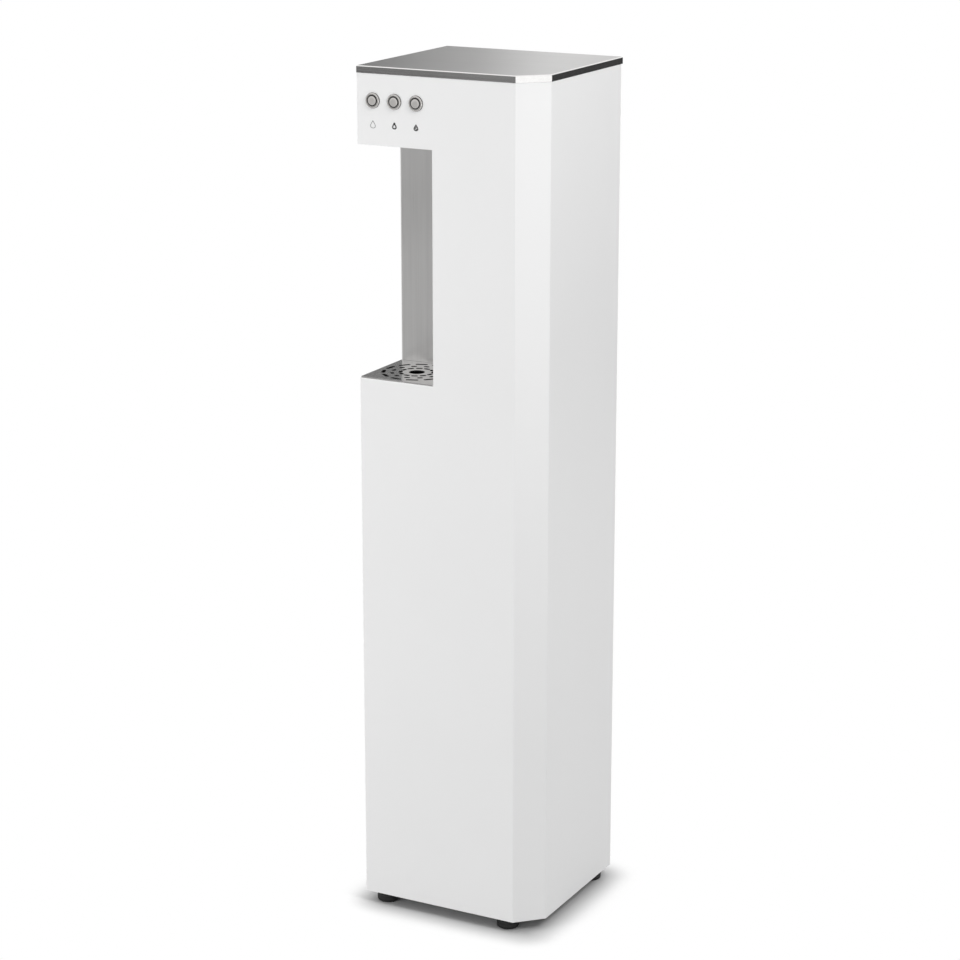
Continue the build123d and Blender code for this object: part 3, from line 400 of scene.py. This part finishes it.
def circuit_board(place):
    """Green solder mask with tinned tracks."""
    tracks = place.noise(120.0, 0.0, (1.0, 1.0, 0.15)).steps(0.52, 0.54)
    speck = place.noise(700.0, 1.0)
    return {
        "Base Color": tracks.between((0.015, 0.10, 0.04, 1.0), (0.03, 0.20, 0.08, 1.0)),
        "Roughness": 0.30 + 0.15 * speck,
        "Coat Weight": 0.4,
        "Normal": tracks.bump(0.2, 0.05 * MM),
    }


def ink(level):
    """Screen printed ink with a slightly uneven edge of tone."""

    def recipe(place):
        dots = place.noise(2600.0, 1.0)
        return {
            "Base Color": dots.between(grey(level), grey(level * 1.3)),
            "Roughness": 0.45 + 0.15 * dots,
        }

    return recipe


white_powder = finish("white_powder_coat", powder_coat)
lid_steel = finish("lid_brushed_steel", brushed_steel(0, 0.56, 0.24))
# Near black steel for the grille's slot walls and rims: painted shade where the slots look dark.
slot_painted_shade = finish("grille_slot_painted_shade", metal(grey(0.035), 0.55, grey(0.02), 90.0))
# Lid sides and chamfer: copies of the lid's steel, darker as painted shade and brighter as a
# painted highlight.
rim_painted_shade = finish("lid_rim_painted_shade", brushed_steel(0, 0.36, 0.02))
edge_painted_highlight = finish("lid_edge_painted_highlight", brushed_steel(0, 0.86, 0.10))
niche_steel = finish("niche_brushed_steel", brushed_steel(2, 0.62, 0.21))
grille_steel = finish("grille_brushed_steel", brushed_steel(0, 0.70, 0.06))
# Darker copy of steel for the outer sides of the bezels: a painted shade.
bezel_side_painted_shade = finish(
    "bezel_side_painted_shade", metal(grey(0.16, 0.02), 0.25, grey(0.11, 0.02), 200.0)
)
pressed_steel = finish("pressed_steel", brushed_steel(2, 0.55, 0.30))
zinc_sheet = finish("galvanised_sheet", galvanised)
zinc_thread = finish("zinc_plate", metal(grey(0.55, 0.02), 0.32, grey(0.42, 0.05), 60.0))
ring_plastic = finish("dark_light_ring", moulded(grey(0.010, 0.05), 0.30, 400.0, 0.02))
foot_rubber = finish("foot_rubber", moulded(grey(0.009), 0.50, 900.0, 0.25))
tray_plastic = finish("black_tray_plastic", moulded(grey(0.022), 0.42, 1100.0, 0.20))
inlet_plastic = finish("black_inlet_plastic", moulded(grey(0.018), 0.36, 1300.0, 0.15))
compressor_enamel = finish("compressor_enamel", enamel(grey(0.012), 0.22))
copper = finish(
    "drawn_copper", metal((0.80, 0.40, 0.26, 1.0), 0.24, (0.45, 0.20, 0.11, 1.0), 45.0)
)
fin_metal = finish("fin_aluminium", metal(grey(0.78), 0.28, grey(0.62), 30.0))
tank_plastic = finish("tank_plastic", moulded((0.72, 0.70, 0.64, 1.0), 0.55, 500.0, 0.20))
tube_plastic = finish("milky_tube", moulded((0.70, 0.76, 0.80, 1.0), 0.26, 300.0, 0.04))
filter_plastic = finish(
    "filter_plastic", moulded((0.74, 0.76, 0.78, 1.0), 0.28, 800.0, 0.06)
)
fitting_plastic = finish("grey_fitting", moulded(grey(0.20), 0.40, 900.0, 0.15))
cylinder_paint = finish("cylinder_paint", enamel(grey(0.16, -0.03), 0.30))
brass = finish(
    "machined_brass", metal((0.72, 0.52, 0.24, 1.0), 0.26, (0.50, 0.34, 0.15, 1.0), 70.0)
)
board_green = finish("circuit_board", circuit_board)
dark_ink = finish("dark_ink", ink(0.055))
pale_ink = finish("pale_ink", ink(0.55))
fine_ink = finish("fine_ink", ink(0.19))

SLOT_FINISHES = {
    "white_paint": white_powder,
    "stainless": pressed_steel,
    "galvanised": zinc_sheet,
    "button_steel": pressed_steel,
    "ring_black": ring_plastic,
    "foot_black": foot_rubber,
    "zinc": zinc_thread,
    "tray_black": tray_plastic,
    "inlet_black": inlet_plastic,
    "compressor_black": compressor_enamel,
    "copper": copper,
    "fin_aluminium": fin_metal,
    "insulation": tank_plastic,
    "tube_plastic": tube_plastic,
    "filter_white": filter_plastic,
    "fitting_grey": fitting_plastic,
    "cylinder_grey": cylinder_paint,
    "brass": brass,
    "board_green": board_green,
}
NODE_FINISHES = {
    "niche_liner": niche_steel,
    "niche_ceiling": niche_steel,
}

for subpart in frame["record"]["subparts"]:
    node = subpart["node"]
    paint = NODE_FINISHES.get(node, SLOT_FINISHES[subpart["material_slot"]])
    nodes[node].material_slots[0].material = paint


# Modelling helpers

def bevel(shape, edges, width, segments, clamp=True):
    """Bevel edges, and give the faces that this makes."""
    made = bmesh.ops.bevel(
        shape,
        geom=edges,
        offset=width,
        segments=segments,
        profile=0.5,
        affect="EDGES",
        clamp_overlap=clamp,
        material=-1,
    )
    return made["faces"]


def soften(shape, width, segments=2):
    """Round every sharp edge."""
    sharp = [e for e in shape.edges if e.is_manifold and e.calc_face_angle() > SMOOTH_TURN]
    bevel(shape, sharp, width, segments)


def added_points(shape, before):
    """Points of a shape that aren't among those of before."""
    return [point for point in shape.verts if point not in before]


def ring_edges(shape, points, closed):
    """Edges from each point to the next, and from the last to the first if closed."""
    ends = points[1:] + points[:1] if closed else points[1:]
    return [shape.edges.new(pair) for pair in zip(points, ends)]


def lathe(shape, profile, place, closed=False, steps=64):
    """Turn a profile of (radius, height) pairs about Z, and set it at place."""
    before = set(shape.verts)
    points = [shape.verts.new((radius, 0, height)) for radius, height in profile]
    bmesh.ops.spin(
        shape,
        geom=points + ring_edges(shape, points, closed),
        cent=(0, 0, 0),
        axis=(0, 0, 1),
        angle=2 * pi,
        steps=steps,
        use_merge=True,
    )
    bmesh.ops.remove_doubles(shape, verts=added_points(shape, before), dist=SEAM_DISTANCE)
    bmesh.ops.transform(shape, matrix=place, verts=added_points(shape, before))


def quarter_turn(steps):
    """Angles from 0 to a right angle."""
    return [i * pi / (2 * steps) for i in range(steps + 1)]


def mesh_object(name, shape, paints):
    """Add an object made from a shape in the model's frame, with its materials in order."""
    mesh = bpy.data.meshes.new(name)
    shape.to_mesh(mesh)
    shape.free()
    for paint in paints:
        mesh.materials.append(paint)
    made = bpy.data.objects.new(name, mesh)
    scene.collection.objects.link(made)
    return made


def piece(name, shape, body, slot, *paints, sharp=SMOOTH_TURN):
    """Make a finished piece of the cooler that rides on a body."""
    bmesh.ops.recalc_face_normals(shape, faces=shape.faces)
    made = mesh_object(name, shape, paints)
    made.data.shade_smooth()
    made.data.set_sharp_from_angle(angle=sharp)
    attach(made, body)
    return made


def facing_front(place):
    """Frame whose own Z points out of the front of the cooler, and whose own Y points up."""
    return Matrix.Translation(place) @ Matrix.Rotation(radians(90), 4, "X")


def centre_of(node):
    """Middle of a node's box, and half its size."""
    low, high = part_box(node)
    return (low + high) / 2, (high - low) / 2


def body_of(node):
    """Name of the body that holds a node."""
    bodies = frame["record"]["behaviour"]["bodies"]
    return next(body for body, members in bodies.items() if node in members)


def merged_copy(node):
    """Shape of a node with its loose triangles joined and its flat faces made whole."""
    shape = bmesh.new()
    shape.from_mesh(nodes[node].data)
    bmesh.ops.remove_doubles(shape, verts=shape.verts, dist=JOIN_DISTANCE)
    bmesh.ops.dissolve_limit(
        shape, angle_limit=LEVEL_TURN, verts=shape.verts, edges=shape.edges
    )
    return shape


# Push buttons

panel_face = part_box("front_panel")[0].y
housing_low, housing_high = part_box("button_housings")
bezel_radius = (housing_high.z - housing_low.z) / 2
bezel_height = panel_face - housing_low.y
barrel_end = panel_face + TERMINAL_LENGTH - housing_high.y


def button_bezel(name, seat, bore_radius):
    """Turned housing: rounded bezel, bore for the cap, barrel and two terminals."""
    shape = bmesh.new()
    face = bezel_height
    floor = face - CAP_BORE_DEPTH
    inward, down = BEZEL_ROUND
    shoulder = [
        (bezel_radius - inward * (1 - sin(turn)), face - down * (1 - cos(turn)))
        for turn in quarter_turn(BEZEL_ROUND_STEPS)
    ]
    profile = [
        (0, floor),
        (bore_radius, floor),
        (bore_radius, face - BEZEL_LIP),
        (bore_radius + BEZEL_LIP, face),
        *shoulder,
        (bezel_radius, 0),
        (BARREL_RADIUS, 0),
        (BARREL_RADIUS, barrel_end),
        (0, barrel_end),
    ]
    lathe(shape, profile, facing_front(seat), steps=BUTTON_STEPS)
    soften(shape, BEZEL_EDGE)
    # The bezel's outer side is painted darker, as shade.
    paint_bezel_side_shade(shape, seat)
    terminal_end = barrel_end - TERMINAL_LENGTH
    terminal = [
        (0, barrel_end),
        (TERMINAL_RADIUS, barrel_end),
        (TERMINAL_RADIUS, terminal_end),
        (0, terminal_end),
    ]
    for rise in (-TERMINAL_OFFSET, TERMINAL_OFFSET):
        place = facing_front(seat) @ Matrix.Translation((0, rise, 0))
        lathe(shape, terminal, place, steps=TERMINAL_STEPS)
    steel = finish(name + "_turned_steel", turned_steel(seat, *BEZEL_STEEL))
    made = piece(name, shape, "cabinet", "button_steel", steel, bezel_side_painted_shade)
    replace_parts(made, "button_housings")


def paint_bezel_side_shade(shape, seat):
    """Give the second material, a darker steel that is painted shade, to the outer side of a
    bezel, in front of the panel.
    """
    bmesh.ops.recalc_face_normals(shape, faces=shape.faces)
    inner = bezel_radius - BEZEL_ROUND[0]
    for face in shape.faces:
        spot = face.calc_center_median()
        radius = (Vector((seat.x, spot.y, seat.z)) - spot).length
        steep = abs(face.normal.y) < BEZEL_SIDE_FACING
        if steep and spot.y < panel_face and radius > inner:
            face.material_index = 1


def button_cap(name, place, radius, length, body, node):
    """Turned cap: a faintly dished disc inside the groove that holds the light ring."""
    shape = bmesh.new()
    dish_middle = (0.5 * CAP_SHOULDER, -0.7 * CAP_DISH)
    dish_edge = (0.9 * CAP_SHOULDER, 0)
    profile = [
        (0, -CAP_DISH),
        dish_middle,
        dish_edge,
        (CAP_SHOULDER, -RING_RECESS),
        (CAP_SHOULDER, -RING_DEPTH),
        (radius, -RING_DEPTH),
        (radius, -length),
        (0, -length),
    ]
    lathe(shape, profile, facing_front(place), steps=BUTTON_STEPS)
    soften(shape, CAP_EDGE, segments=1)
    steel = finish(name + "_turned_steel", turned_steel(place, *CAP_STEEL))
    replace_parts(piece(name, shape, body, "button_steel", steel), node)


def light_ring(name, place, radius, body, node):
    """Dark ring with a low crown, set in the cap's groove."""
    shape = bmesh.new()
    inner = CAP_SHOULDER
    crown = -0.4 * RING_RECESS
    crown_start = 0.6 * inner + 0.4 * radius
    crown_end = 0.3 * inner + 0.7 * radius
    profile = [
        (inner, -RING_RECESS),
        (crown_start, crown),
        (crown_end, crown),
        (radius, -RING_RECESS),
        (radius, -RING_DEPTH),
        (inner, -RING_DEPTH),
    ]
    lathe(shape, profile, facing_front(place), closed=True, steps=BUTTON_STEPS)
    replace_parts(piece(name, shape, body, "ring_black", ring_plastic), node)


button_places = {}
for drink in DRINKS:
    cap_node = f"{drink}_button_cap"
    ring_node = f"{drink}_button_ring"
    body = f"{drink}_button"
    middle, half = centre_of(cap_node)
    button_places[drink] = middle
    seat = Vector((middle.x, panel_face, middle.z))
    front = Vector((middle.x, middle.y - half.y, middle.z))
    button_bezel(f"{drink}_bezel", seat, half.x + CAP_CLEARANCE)
    button_cap(f"{drink}_cap", front, half.x, 2 * half.y, body, cap_node)
    light_ring(f"{drink}_light_ring", front, half.x, body, ring_node)


# Drop pictograms printed under the buttons

def drop_outline(shape, width, height, place):
    """Flat face of a drop: a round foot that runs up into a point."""
    points = []
    for i in range(DROP_STEPS):
        turn = 2 * pi * i / DROP_STEPS
        x = DROP_WIDENING * width / 2 * sin(turn) * sin(turn / 2) ** DROP_POINT
        points.append(shape.verts.new((x, height / 2 * cos(turn), 0)))
    face = shape.faces.new(points)
    bmesh.ops.transform(shape, matrix=place, verts=points)
    return face


def raise_print(shape):
    """Give flat printed faces the thickness of ink, out of the front."""
    bmesh.ops.recalc_face_normals(shape, faces=shape.faces)
    raised = bmesh.ops.extrude_face_region(shape, geom=list(shape.faces))["geom"]
    moved = [v for v in raised if isinstance(v, bmesh.types.BMVert)]
    bmesh.ops.translate(shape, vec=(0, -PRINT_THICKNESS, 0), verts=moved)


def drop_mark(name, x, z, width, height, line, paint):
    """Printed drop, drawn as a line of a given width or, without one, filled."""
    shape = bmesh.new()
    face = drop_outline(shape, width, height, facing_front((x, panel_face, z)))
    if line:
        bmesh.ops.inset_region(
            shape, faces=[face], thickness=line, use_boundary=True, use_even_offset=True
        )
        bmesh.ops.delete(shape, geom=[face], context="FACES")
    raise_print(shape)
    piece(name, shape, "cabinet", "ring_black", paint)


def bubble_marks(name, x, z, bubbles):
    """Pale printed dots that lie on the filled drop."""
    shape = bmesh.new()
    for offset_x, offset_z, radius in bubbles:
        place = facing_front((x + offset_x, panel_face - PRINT_THICKNESS, z + offset_z))
        bmesh.ops.create_circle(
            shape, cap_ends=True, segments=BUBBLE_STEPS, radius=radius, matrix=place
        )
    raise_print(shape)
    piece(name, shape, "cabinet", "white_paint", pale_ink)


# Width, height, line and ink of each drop
MARKS = {
    "ambient": (8.4 * MM, 10.8 * MM, 0.8 * MM, fine_ink),
    "chilled": (7.4 * MM, 9.6 * MM, 1.9 * MM, dark_ink),
    "sparkling": (7.4 * MM, 9.6 * MM, 0, dark_ink),
}
mark_z = button_places["ambient"].z - MARK_DROP
for drink, (width, height, line, paint) in MARKS.items():
    drop_mark(f"{drink}_mark", button_places[drink].x, mark_z, width, height, line, paint)
bubble_marks("sparkling_bubbles", button_places["sparkling"].x, mark_z, BUBBLES)


# Lid and drip grille

def brushed_lid():
    """Lid with a brushed top, polished sides in a darker steel as painted shade, and a chamfer
    between them in a brighter steel as a painted highlight.
    """
    shape = merged_copy("top_lid")
    # Sides get the darker steel, painted shade; the chamfer gets the brighter steel, a painted
    # highlight.
    for face in shape.faces:
        if abs(face.normal.z) < LID_SIDE_RISE:
            face.material_index = 1
        elif face.normal.z < LID_TOP_RISE:
            face.material_index = 2
    paints = (lid_steel, rim_painted_shade, edge_painted_highlight)
    made = piece("brushed_lid", shape, "cabinet", "stainless", *paints, sharp=FLAT_TURN)
    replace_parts(made, "top_lid")


def slotted_grille():
    """Drip grille whose slot walls and chamfered rims are painted near black, a painted shade."""
    shape = merged_copy("drip_grille")
    low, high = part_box("drip_grille")
    for face in shape.faces:
        spot = face.calc_center_median()
        inset = min(spot.x - low.x, high.x - spot.x, spot.y - low.y, high.y - spot.y)
        if abs(face.normal.z) < SLOT_WALL_RISE and inset > GRILLE_BORDER:
            face.material_index = 1
    rims = [
        edge
        for edge in shape.edges
        if {face.material_index for face in edge.link_faces} == {0, 1}
        and min(vert.co.z for vert in edge.verts) > high.z - SLOT_RIM_DEPTH
    ]
    # The chamfered rims get the near black steel too, painted shade.
    for face in bevel(shape, rims, SLOT_CHAMFER, segments=1, clamp=False):
        face.material_index = 1
    paints = (grille_steel, slot_painted_shade)
    made = piece("slotted_grille", shape, "grille", "stainless", *paints, sharp=FLAT_TURN)
    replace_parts(made, "drip_grille")


brushed_lid()
slotted_grille()


# Nozzle

def nozzle_spout():
    """Nozzle that hangs from its flange on the ceiling, with a groove above its tip."""
    middle, half = centre_of("nozzle")
    top = half.z
    tip = -half.z
    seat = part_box("niche_ceiling")[1].z - middle.z
    waist = NOZZLE_RADIUS - NOZZLE_GROOVE_DEPTH
    groove = tip + NOZZLE_GROOVE_RISE
    shape = bmesh.new()
    profile = [
        (NOZZLE_BORE, top),
        (half.x, top),
        (half.x, seat),
        (NOZZLE_RADIUS, seat),
        (NOZZLE_RADIUS, groove + NOZZLE_GROOVE_MOUTH),
        (waist, groove + NOZZLE_GROOVE_FLOOR),
        (waist, groove - NOZZLE_GROOVE_FLOOR),
        (NOZZLE_RADIUS, groove - NOZZLE_GROOVE_MOUTH),
        (NOZZLE_RADIUS, tip + NOZZLE_TIP_EDGE),
        (NOZZLE_RADIUS - NOZZLE_TIP_EDGE, tip),
        (NOZZLE_BORE + NOZZLE_BORE_EDGE, tip),
        (NOZZLE_BORE, tip + NOZZLE_BORE_EDGE),
    ]
    lathe(shape, profile, Matrix.Translation(middle), closed=True)
    made = piece("nozzle_spout", shape, "cabinet", "stainless", pressed_steel)
    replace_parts(made, "nozzle")


nozzle_spout()


# Levelling feet

def foot_pad(corner):
    """Moulded pad with a rounded heel, a grip groove and a bore for the stud's pin."""
    low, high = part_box(f"foot_pad_{corner}")
    radius = (high.x - low.x) / 2
    height = high.z - low.z
    place = Matrix.Translation(((low.x + high.x) / 2, (low.y + high.y) / 2, low.z))
    hollow_floor = 0.45 * radius
    hollow_rim = 0.5 * radius
    groove = PAD_GROOVE_SHARE * height
    heel = [
        (radius - PAD_HEEL + PAD_HEEL * sin(turn), PAD_HEEL - PAD_HEEL * cos(turn))
        for turn in quarter_turn(PAD_HEEL_STEPS)
    ]
    profile = [
        (0, PAD_HOLLOW),
        (hollow_floor, PAD_HOLLOW),
        (hollow_rim, 0),
        *heel,
        (radius, groove),
        (radius - PAD_GROOVE, groove + PAD_GROOVE),
        (radius - PAD_GROOVE, groove + 2 * PAD_GROOVE),
        (radius, groove + 3 * PAD_GROOVE),
        (radius, height - PAD_TOP_EDGE),
        (radius - PAD_TOP_EDGE, height),
        (PIN_BORE_RADIUS, height),
        (PIN_BORE_RADIUS, height - PIN_BORE_DEPTH),
        (0, height - PIN_BORE_DEPTH),
    ]
    shape = bmesh.new()
    lathe(shape, profile, place, steps=PAD_STEPS)
    made = piece(f"pad_{corner}", shape, f"foot_{corner}", "foot_black", foot_rubber)
    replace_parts(made, f"foot_pad_{corner}")


def cut_thread(shape, place, core, start, turns):
    """Wind the ridge of a thread round a core, from the height of start upwards."""
    root = core - THREAD_SINK
    ridge = [
        (root, 0),
        (THREAD_RADIUS, THREAD_PITCH / 2),
        (root, THREAD_PITCH - THREAD_GAP),
    ]
    before = set(shape.verts)
    points = [shape.verts.new((radius, 0, start + rise)) for radius, rise in ridge]
    edges = ring_edges(shape, points, True)
    section = shape.faces.new(points)
    bmesh.ops.spin(
        shape,
        geom=points + edges + [section],
        cent=(0, 0, 0),
        axis=(0, 0, 1),
        dvec=(0, 0, THREAD_PITCH / THREAD_TURN_STEPS),
        angle=2 * pi * turns,
        steps=THREAD_TURN_STEPS * turns,
    )
    bmesh.ops.transform(shape, matrix=place, verts=added_points(shape, before))


def foot_stud(corner):
    """Stud with a pin, a hexagonal collar and a cut thread."""
    node = f"foot_stud_{corner}"
    low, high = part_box(node)
    pad_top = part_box(f"foot_pad_{corner}")[1].z
    place = Matrix.Translation(((low.x + high.x) / 2, (low.y + high.y) / 2, pad_top))
    pin_end = low.z - pad_top
    rod_end = high.z - pad_top
    core = THREAD_RADIUS - THREAD_DEPTH
    reach = (high.x - low.x) / 2
    pin = [(0, pin_end), (PIN_RADIUS, pin_end), (PIN_RADIUS, 0), (0, 0)]
    collar = [(0, 0), (reach, 0), (reach, COLLAR_HEIGHT), (0, COLLAR_HEIGHT)]
    rod = [
        (0, COLLAR_HEIGHT),
        (core, COLLAR_HEIGHT),
        (core, rod_end - STUD_END_EDGE),
        (core - STUD_END_EDGE, rod_end),
        (0, rod_end),
    ]
    shape = bmesh.new()
    lathe(shape, pin, place, steps=STUD_STEPS)
    lathe(shape, collar, place, steps=COLLAR_SIDES)
    lathe(shape, rod, place, steps=STUD_STEPS)
    soften(shape, STUD_EDGE)
    turns = int((rod_end - COLLAR_HEIGHT - THREAD_RUN_OUT) / THREAD_PITCH)
    cut_thread(shape, place, core, COLLAR_HEIGHT + THREAD_START, turns)
    made = piece(f"stud_{corner}", shape, body_of(node), "zinc", zinc_thread)
    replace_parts(made, node)


for corner in CORNERS:
    foot_pad(corner)
    foot_stud(corner)


# Floor, backdrop and light

def seen_directly(tree):
    """1 for what the camera sees straight, in a mirror or through glass, and 0 for light."""
    path = tree.nodes.new("ShaderNodeLightPath")
    kinds = ("Camera", "Glossy", "Transmission")
    return sum(Wire(tree, path.outputs[f"Is {kind} Ray"]) for kind in kinds)


def floor_surface(place):
    """Matt near the cooler, where its shadow lies and its grey darkens towards it as a painted
    shadow, plain white further off, and grey to light.
    """
    outside = place.vector("ABSOLUTE").vector("SUBTRACT", FLOOR_CORE).vector("MAXIMUM")
    distance = outside.length()
    far = distance.steps(*FLOOR_FADE, "SMOOTHERSTEP")
    seen = seen_directly(place.tree)
    # Floor grey darkened near the cooler: a painted shadow.
    shade = distance.steps(0.0, PAINTED_SHADOW_REACH).between(grey(PAINTED_SHADOW_NEAR), grey(PAINTED_SHADOW_FAR))
    matt = place.node("BsdfDiffuse", {"Color": seen.between(grey(FLOOR_BOUNCE), shade)})
    white = place.node("Emission", {"Color": grey(1.0), "Strength": 1.0})
    return place.node("MixShader", {0: far * seen, 1: matt, 2: white})


def studio_floor():
    """Round white floor that reaches past the edges of the picture."""
    shape = bmesh.new()
    bmesh.ops.create_circle(shape, cap_ends=True, segments=FLOOR_SIDES, radius=FLOOR_RADIUS)
    floor = mesh_object("floor", shape, [material("studio_floor", floor_surface)])


def card_surface(axis, stops):
    """Glow of a card, whose grey runs through stops along an axis."""

    def shader(place):
        along = place.node("SeparateXYZ", {"Vector": place}, axis)
        tone = grey(stops[0][1])
        for (start, _), (end, level) in zip(stops, stops[1:]):
            tone = along.steps(start, end).between(tone, grey(level))
        return place.node("Emission", {"Color": tone, "Strength": 1.0})

    return shader


def reflection_card(name, middle, size, axis, stops):
    """Upright card beside the set, seen only in the metal."""
    shape = bmesh.new()
    bmesh.ops.create_grid(shape, x_segments=1, y_segments=1, size=0.5)
    bmesh.ops.scale(shape, vec=(*size, 1), verts=shape.verts)
    turn = Vector((middle[0], middle[1], 0)).to_track_quat("-Z", "Y").to_matrix().to_4x4()
    bmesh.ops.transform(shape, matrix=Matrix.Translation(middle) @ turn, verts=shape.verts)
    card = mesh_object(name, shape, [material(name, card_surface(axis, stops))])
    card.visible_camera = False
    card.visible_diffuse = False
    card.visible_shadow = False
    card.visible_transmission = False
    card.visible_volume_scatter = False


def softbox(name, place, target, size, power):
    """Rectangular lamp at place that faces target."""
    lamp = bpy.data.lights.new(name, "AREA")
    lamp.shape = "RECTANGLE"
    lamp.size, lamp.size_y = size
    lamp.energy = power
    made = bpy.data.objects.new(name, lamp)
    made.location = place
    made.rotation_euler = (Vector(target) - Vector(place)).to_track_quat("-Z", "Y").to_euler()
    made.visible_glossy = False
    made.visible_camera = False
    scene.collection.objects.link(made)


def studio_world(ambient):
    """White to the camera and in reflections, and a softer fill for the light on the cooler."""
    world = bpy.data.worlds.new("studio")
    scene.world = world
    world.use_nodes = True
    tree = world.node_tree
    tree.nodes.clear()
    start = Wire(tree)
    fill = start.node("Background", {"Color": grey(1.0), "Strength": ambient})
    white = start.node("Background", {"Color": grey(1.0), "Strength": 1.0})
    surface = start.node("MixShader", {0: seen_directly(tree), 1: fill, 2: white})
    start.node("OutputWorld", {"Surface": surface})


def photo_camera():
    """Camera that sees the cooler as the photograph does."""
    lens = bpy.data.cameras.new("camera")
    lens.sensor_width = SENSOR
    lens.lens = FOCAL_PIXELS / IMAGE_SIZE * SENSOR
    camera = bpy.data.objects.new("camera", lens)
    camera.location = CAMERA_PLACE
    camera.rotation_euler = (radians(90 - CAMERA_PITCH), 0, radians(CAMERA_YAW))
    scene.collection.objects.link(camera)
    scene.camera = camera


studio_floor()
studio_world(AMBIENT)
for name, (place, target, size, power) in SOFTBOXES.items():
    softbox(name, place, target, size, power)
for name, (middle, size, axis, stops) in CARDS.items():
    reflection_card(name, middle, size, axis, stops)
photo_camera()
scene.view_settings.view_transform = "Standard"
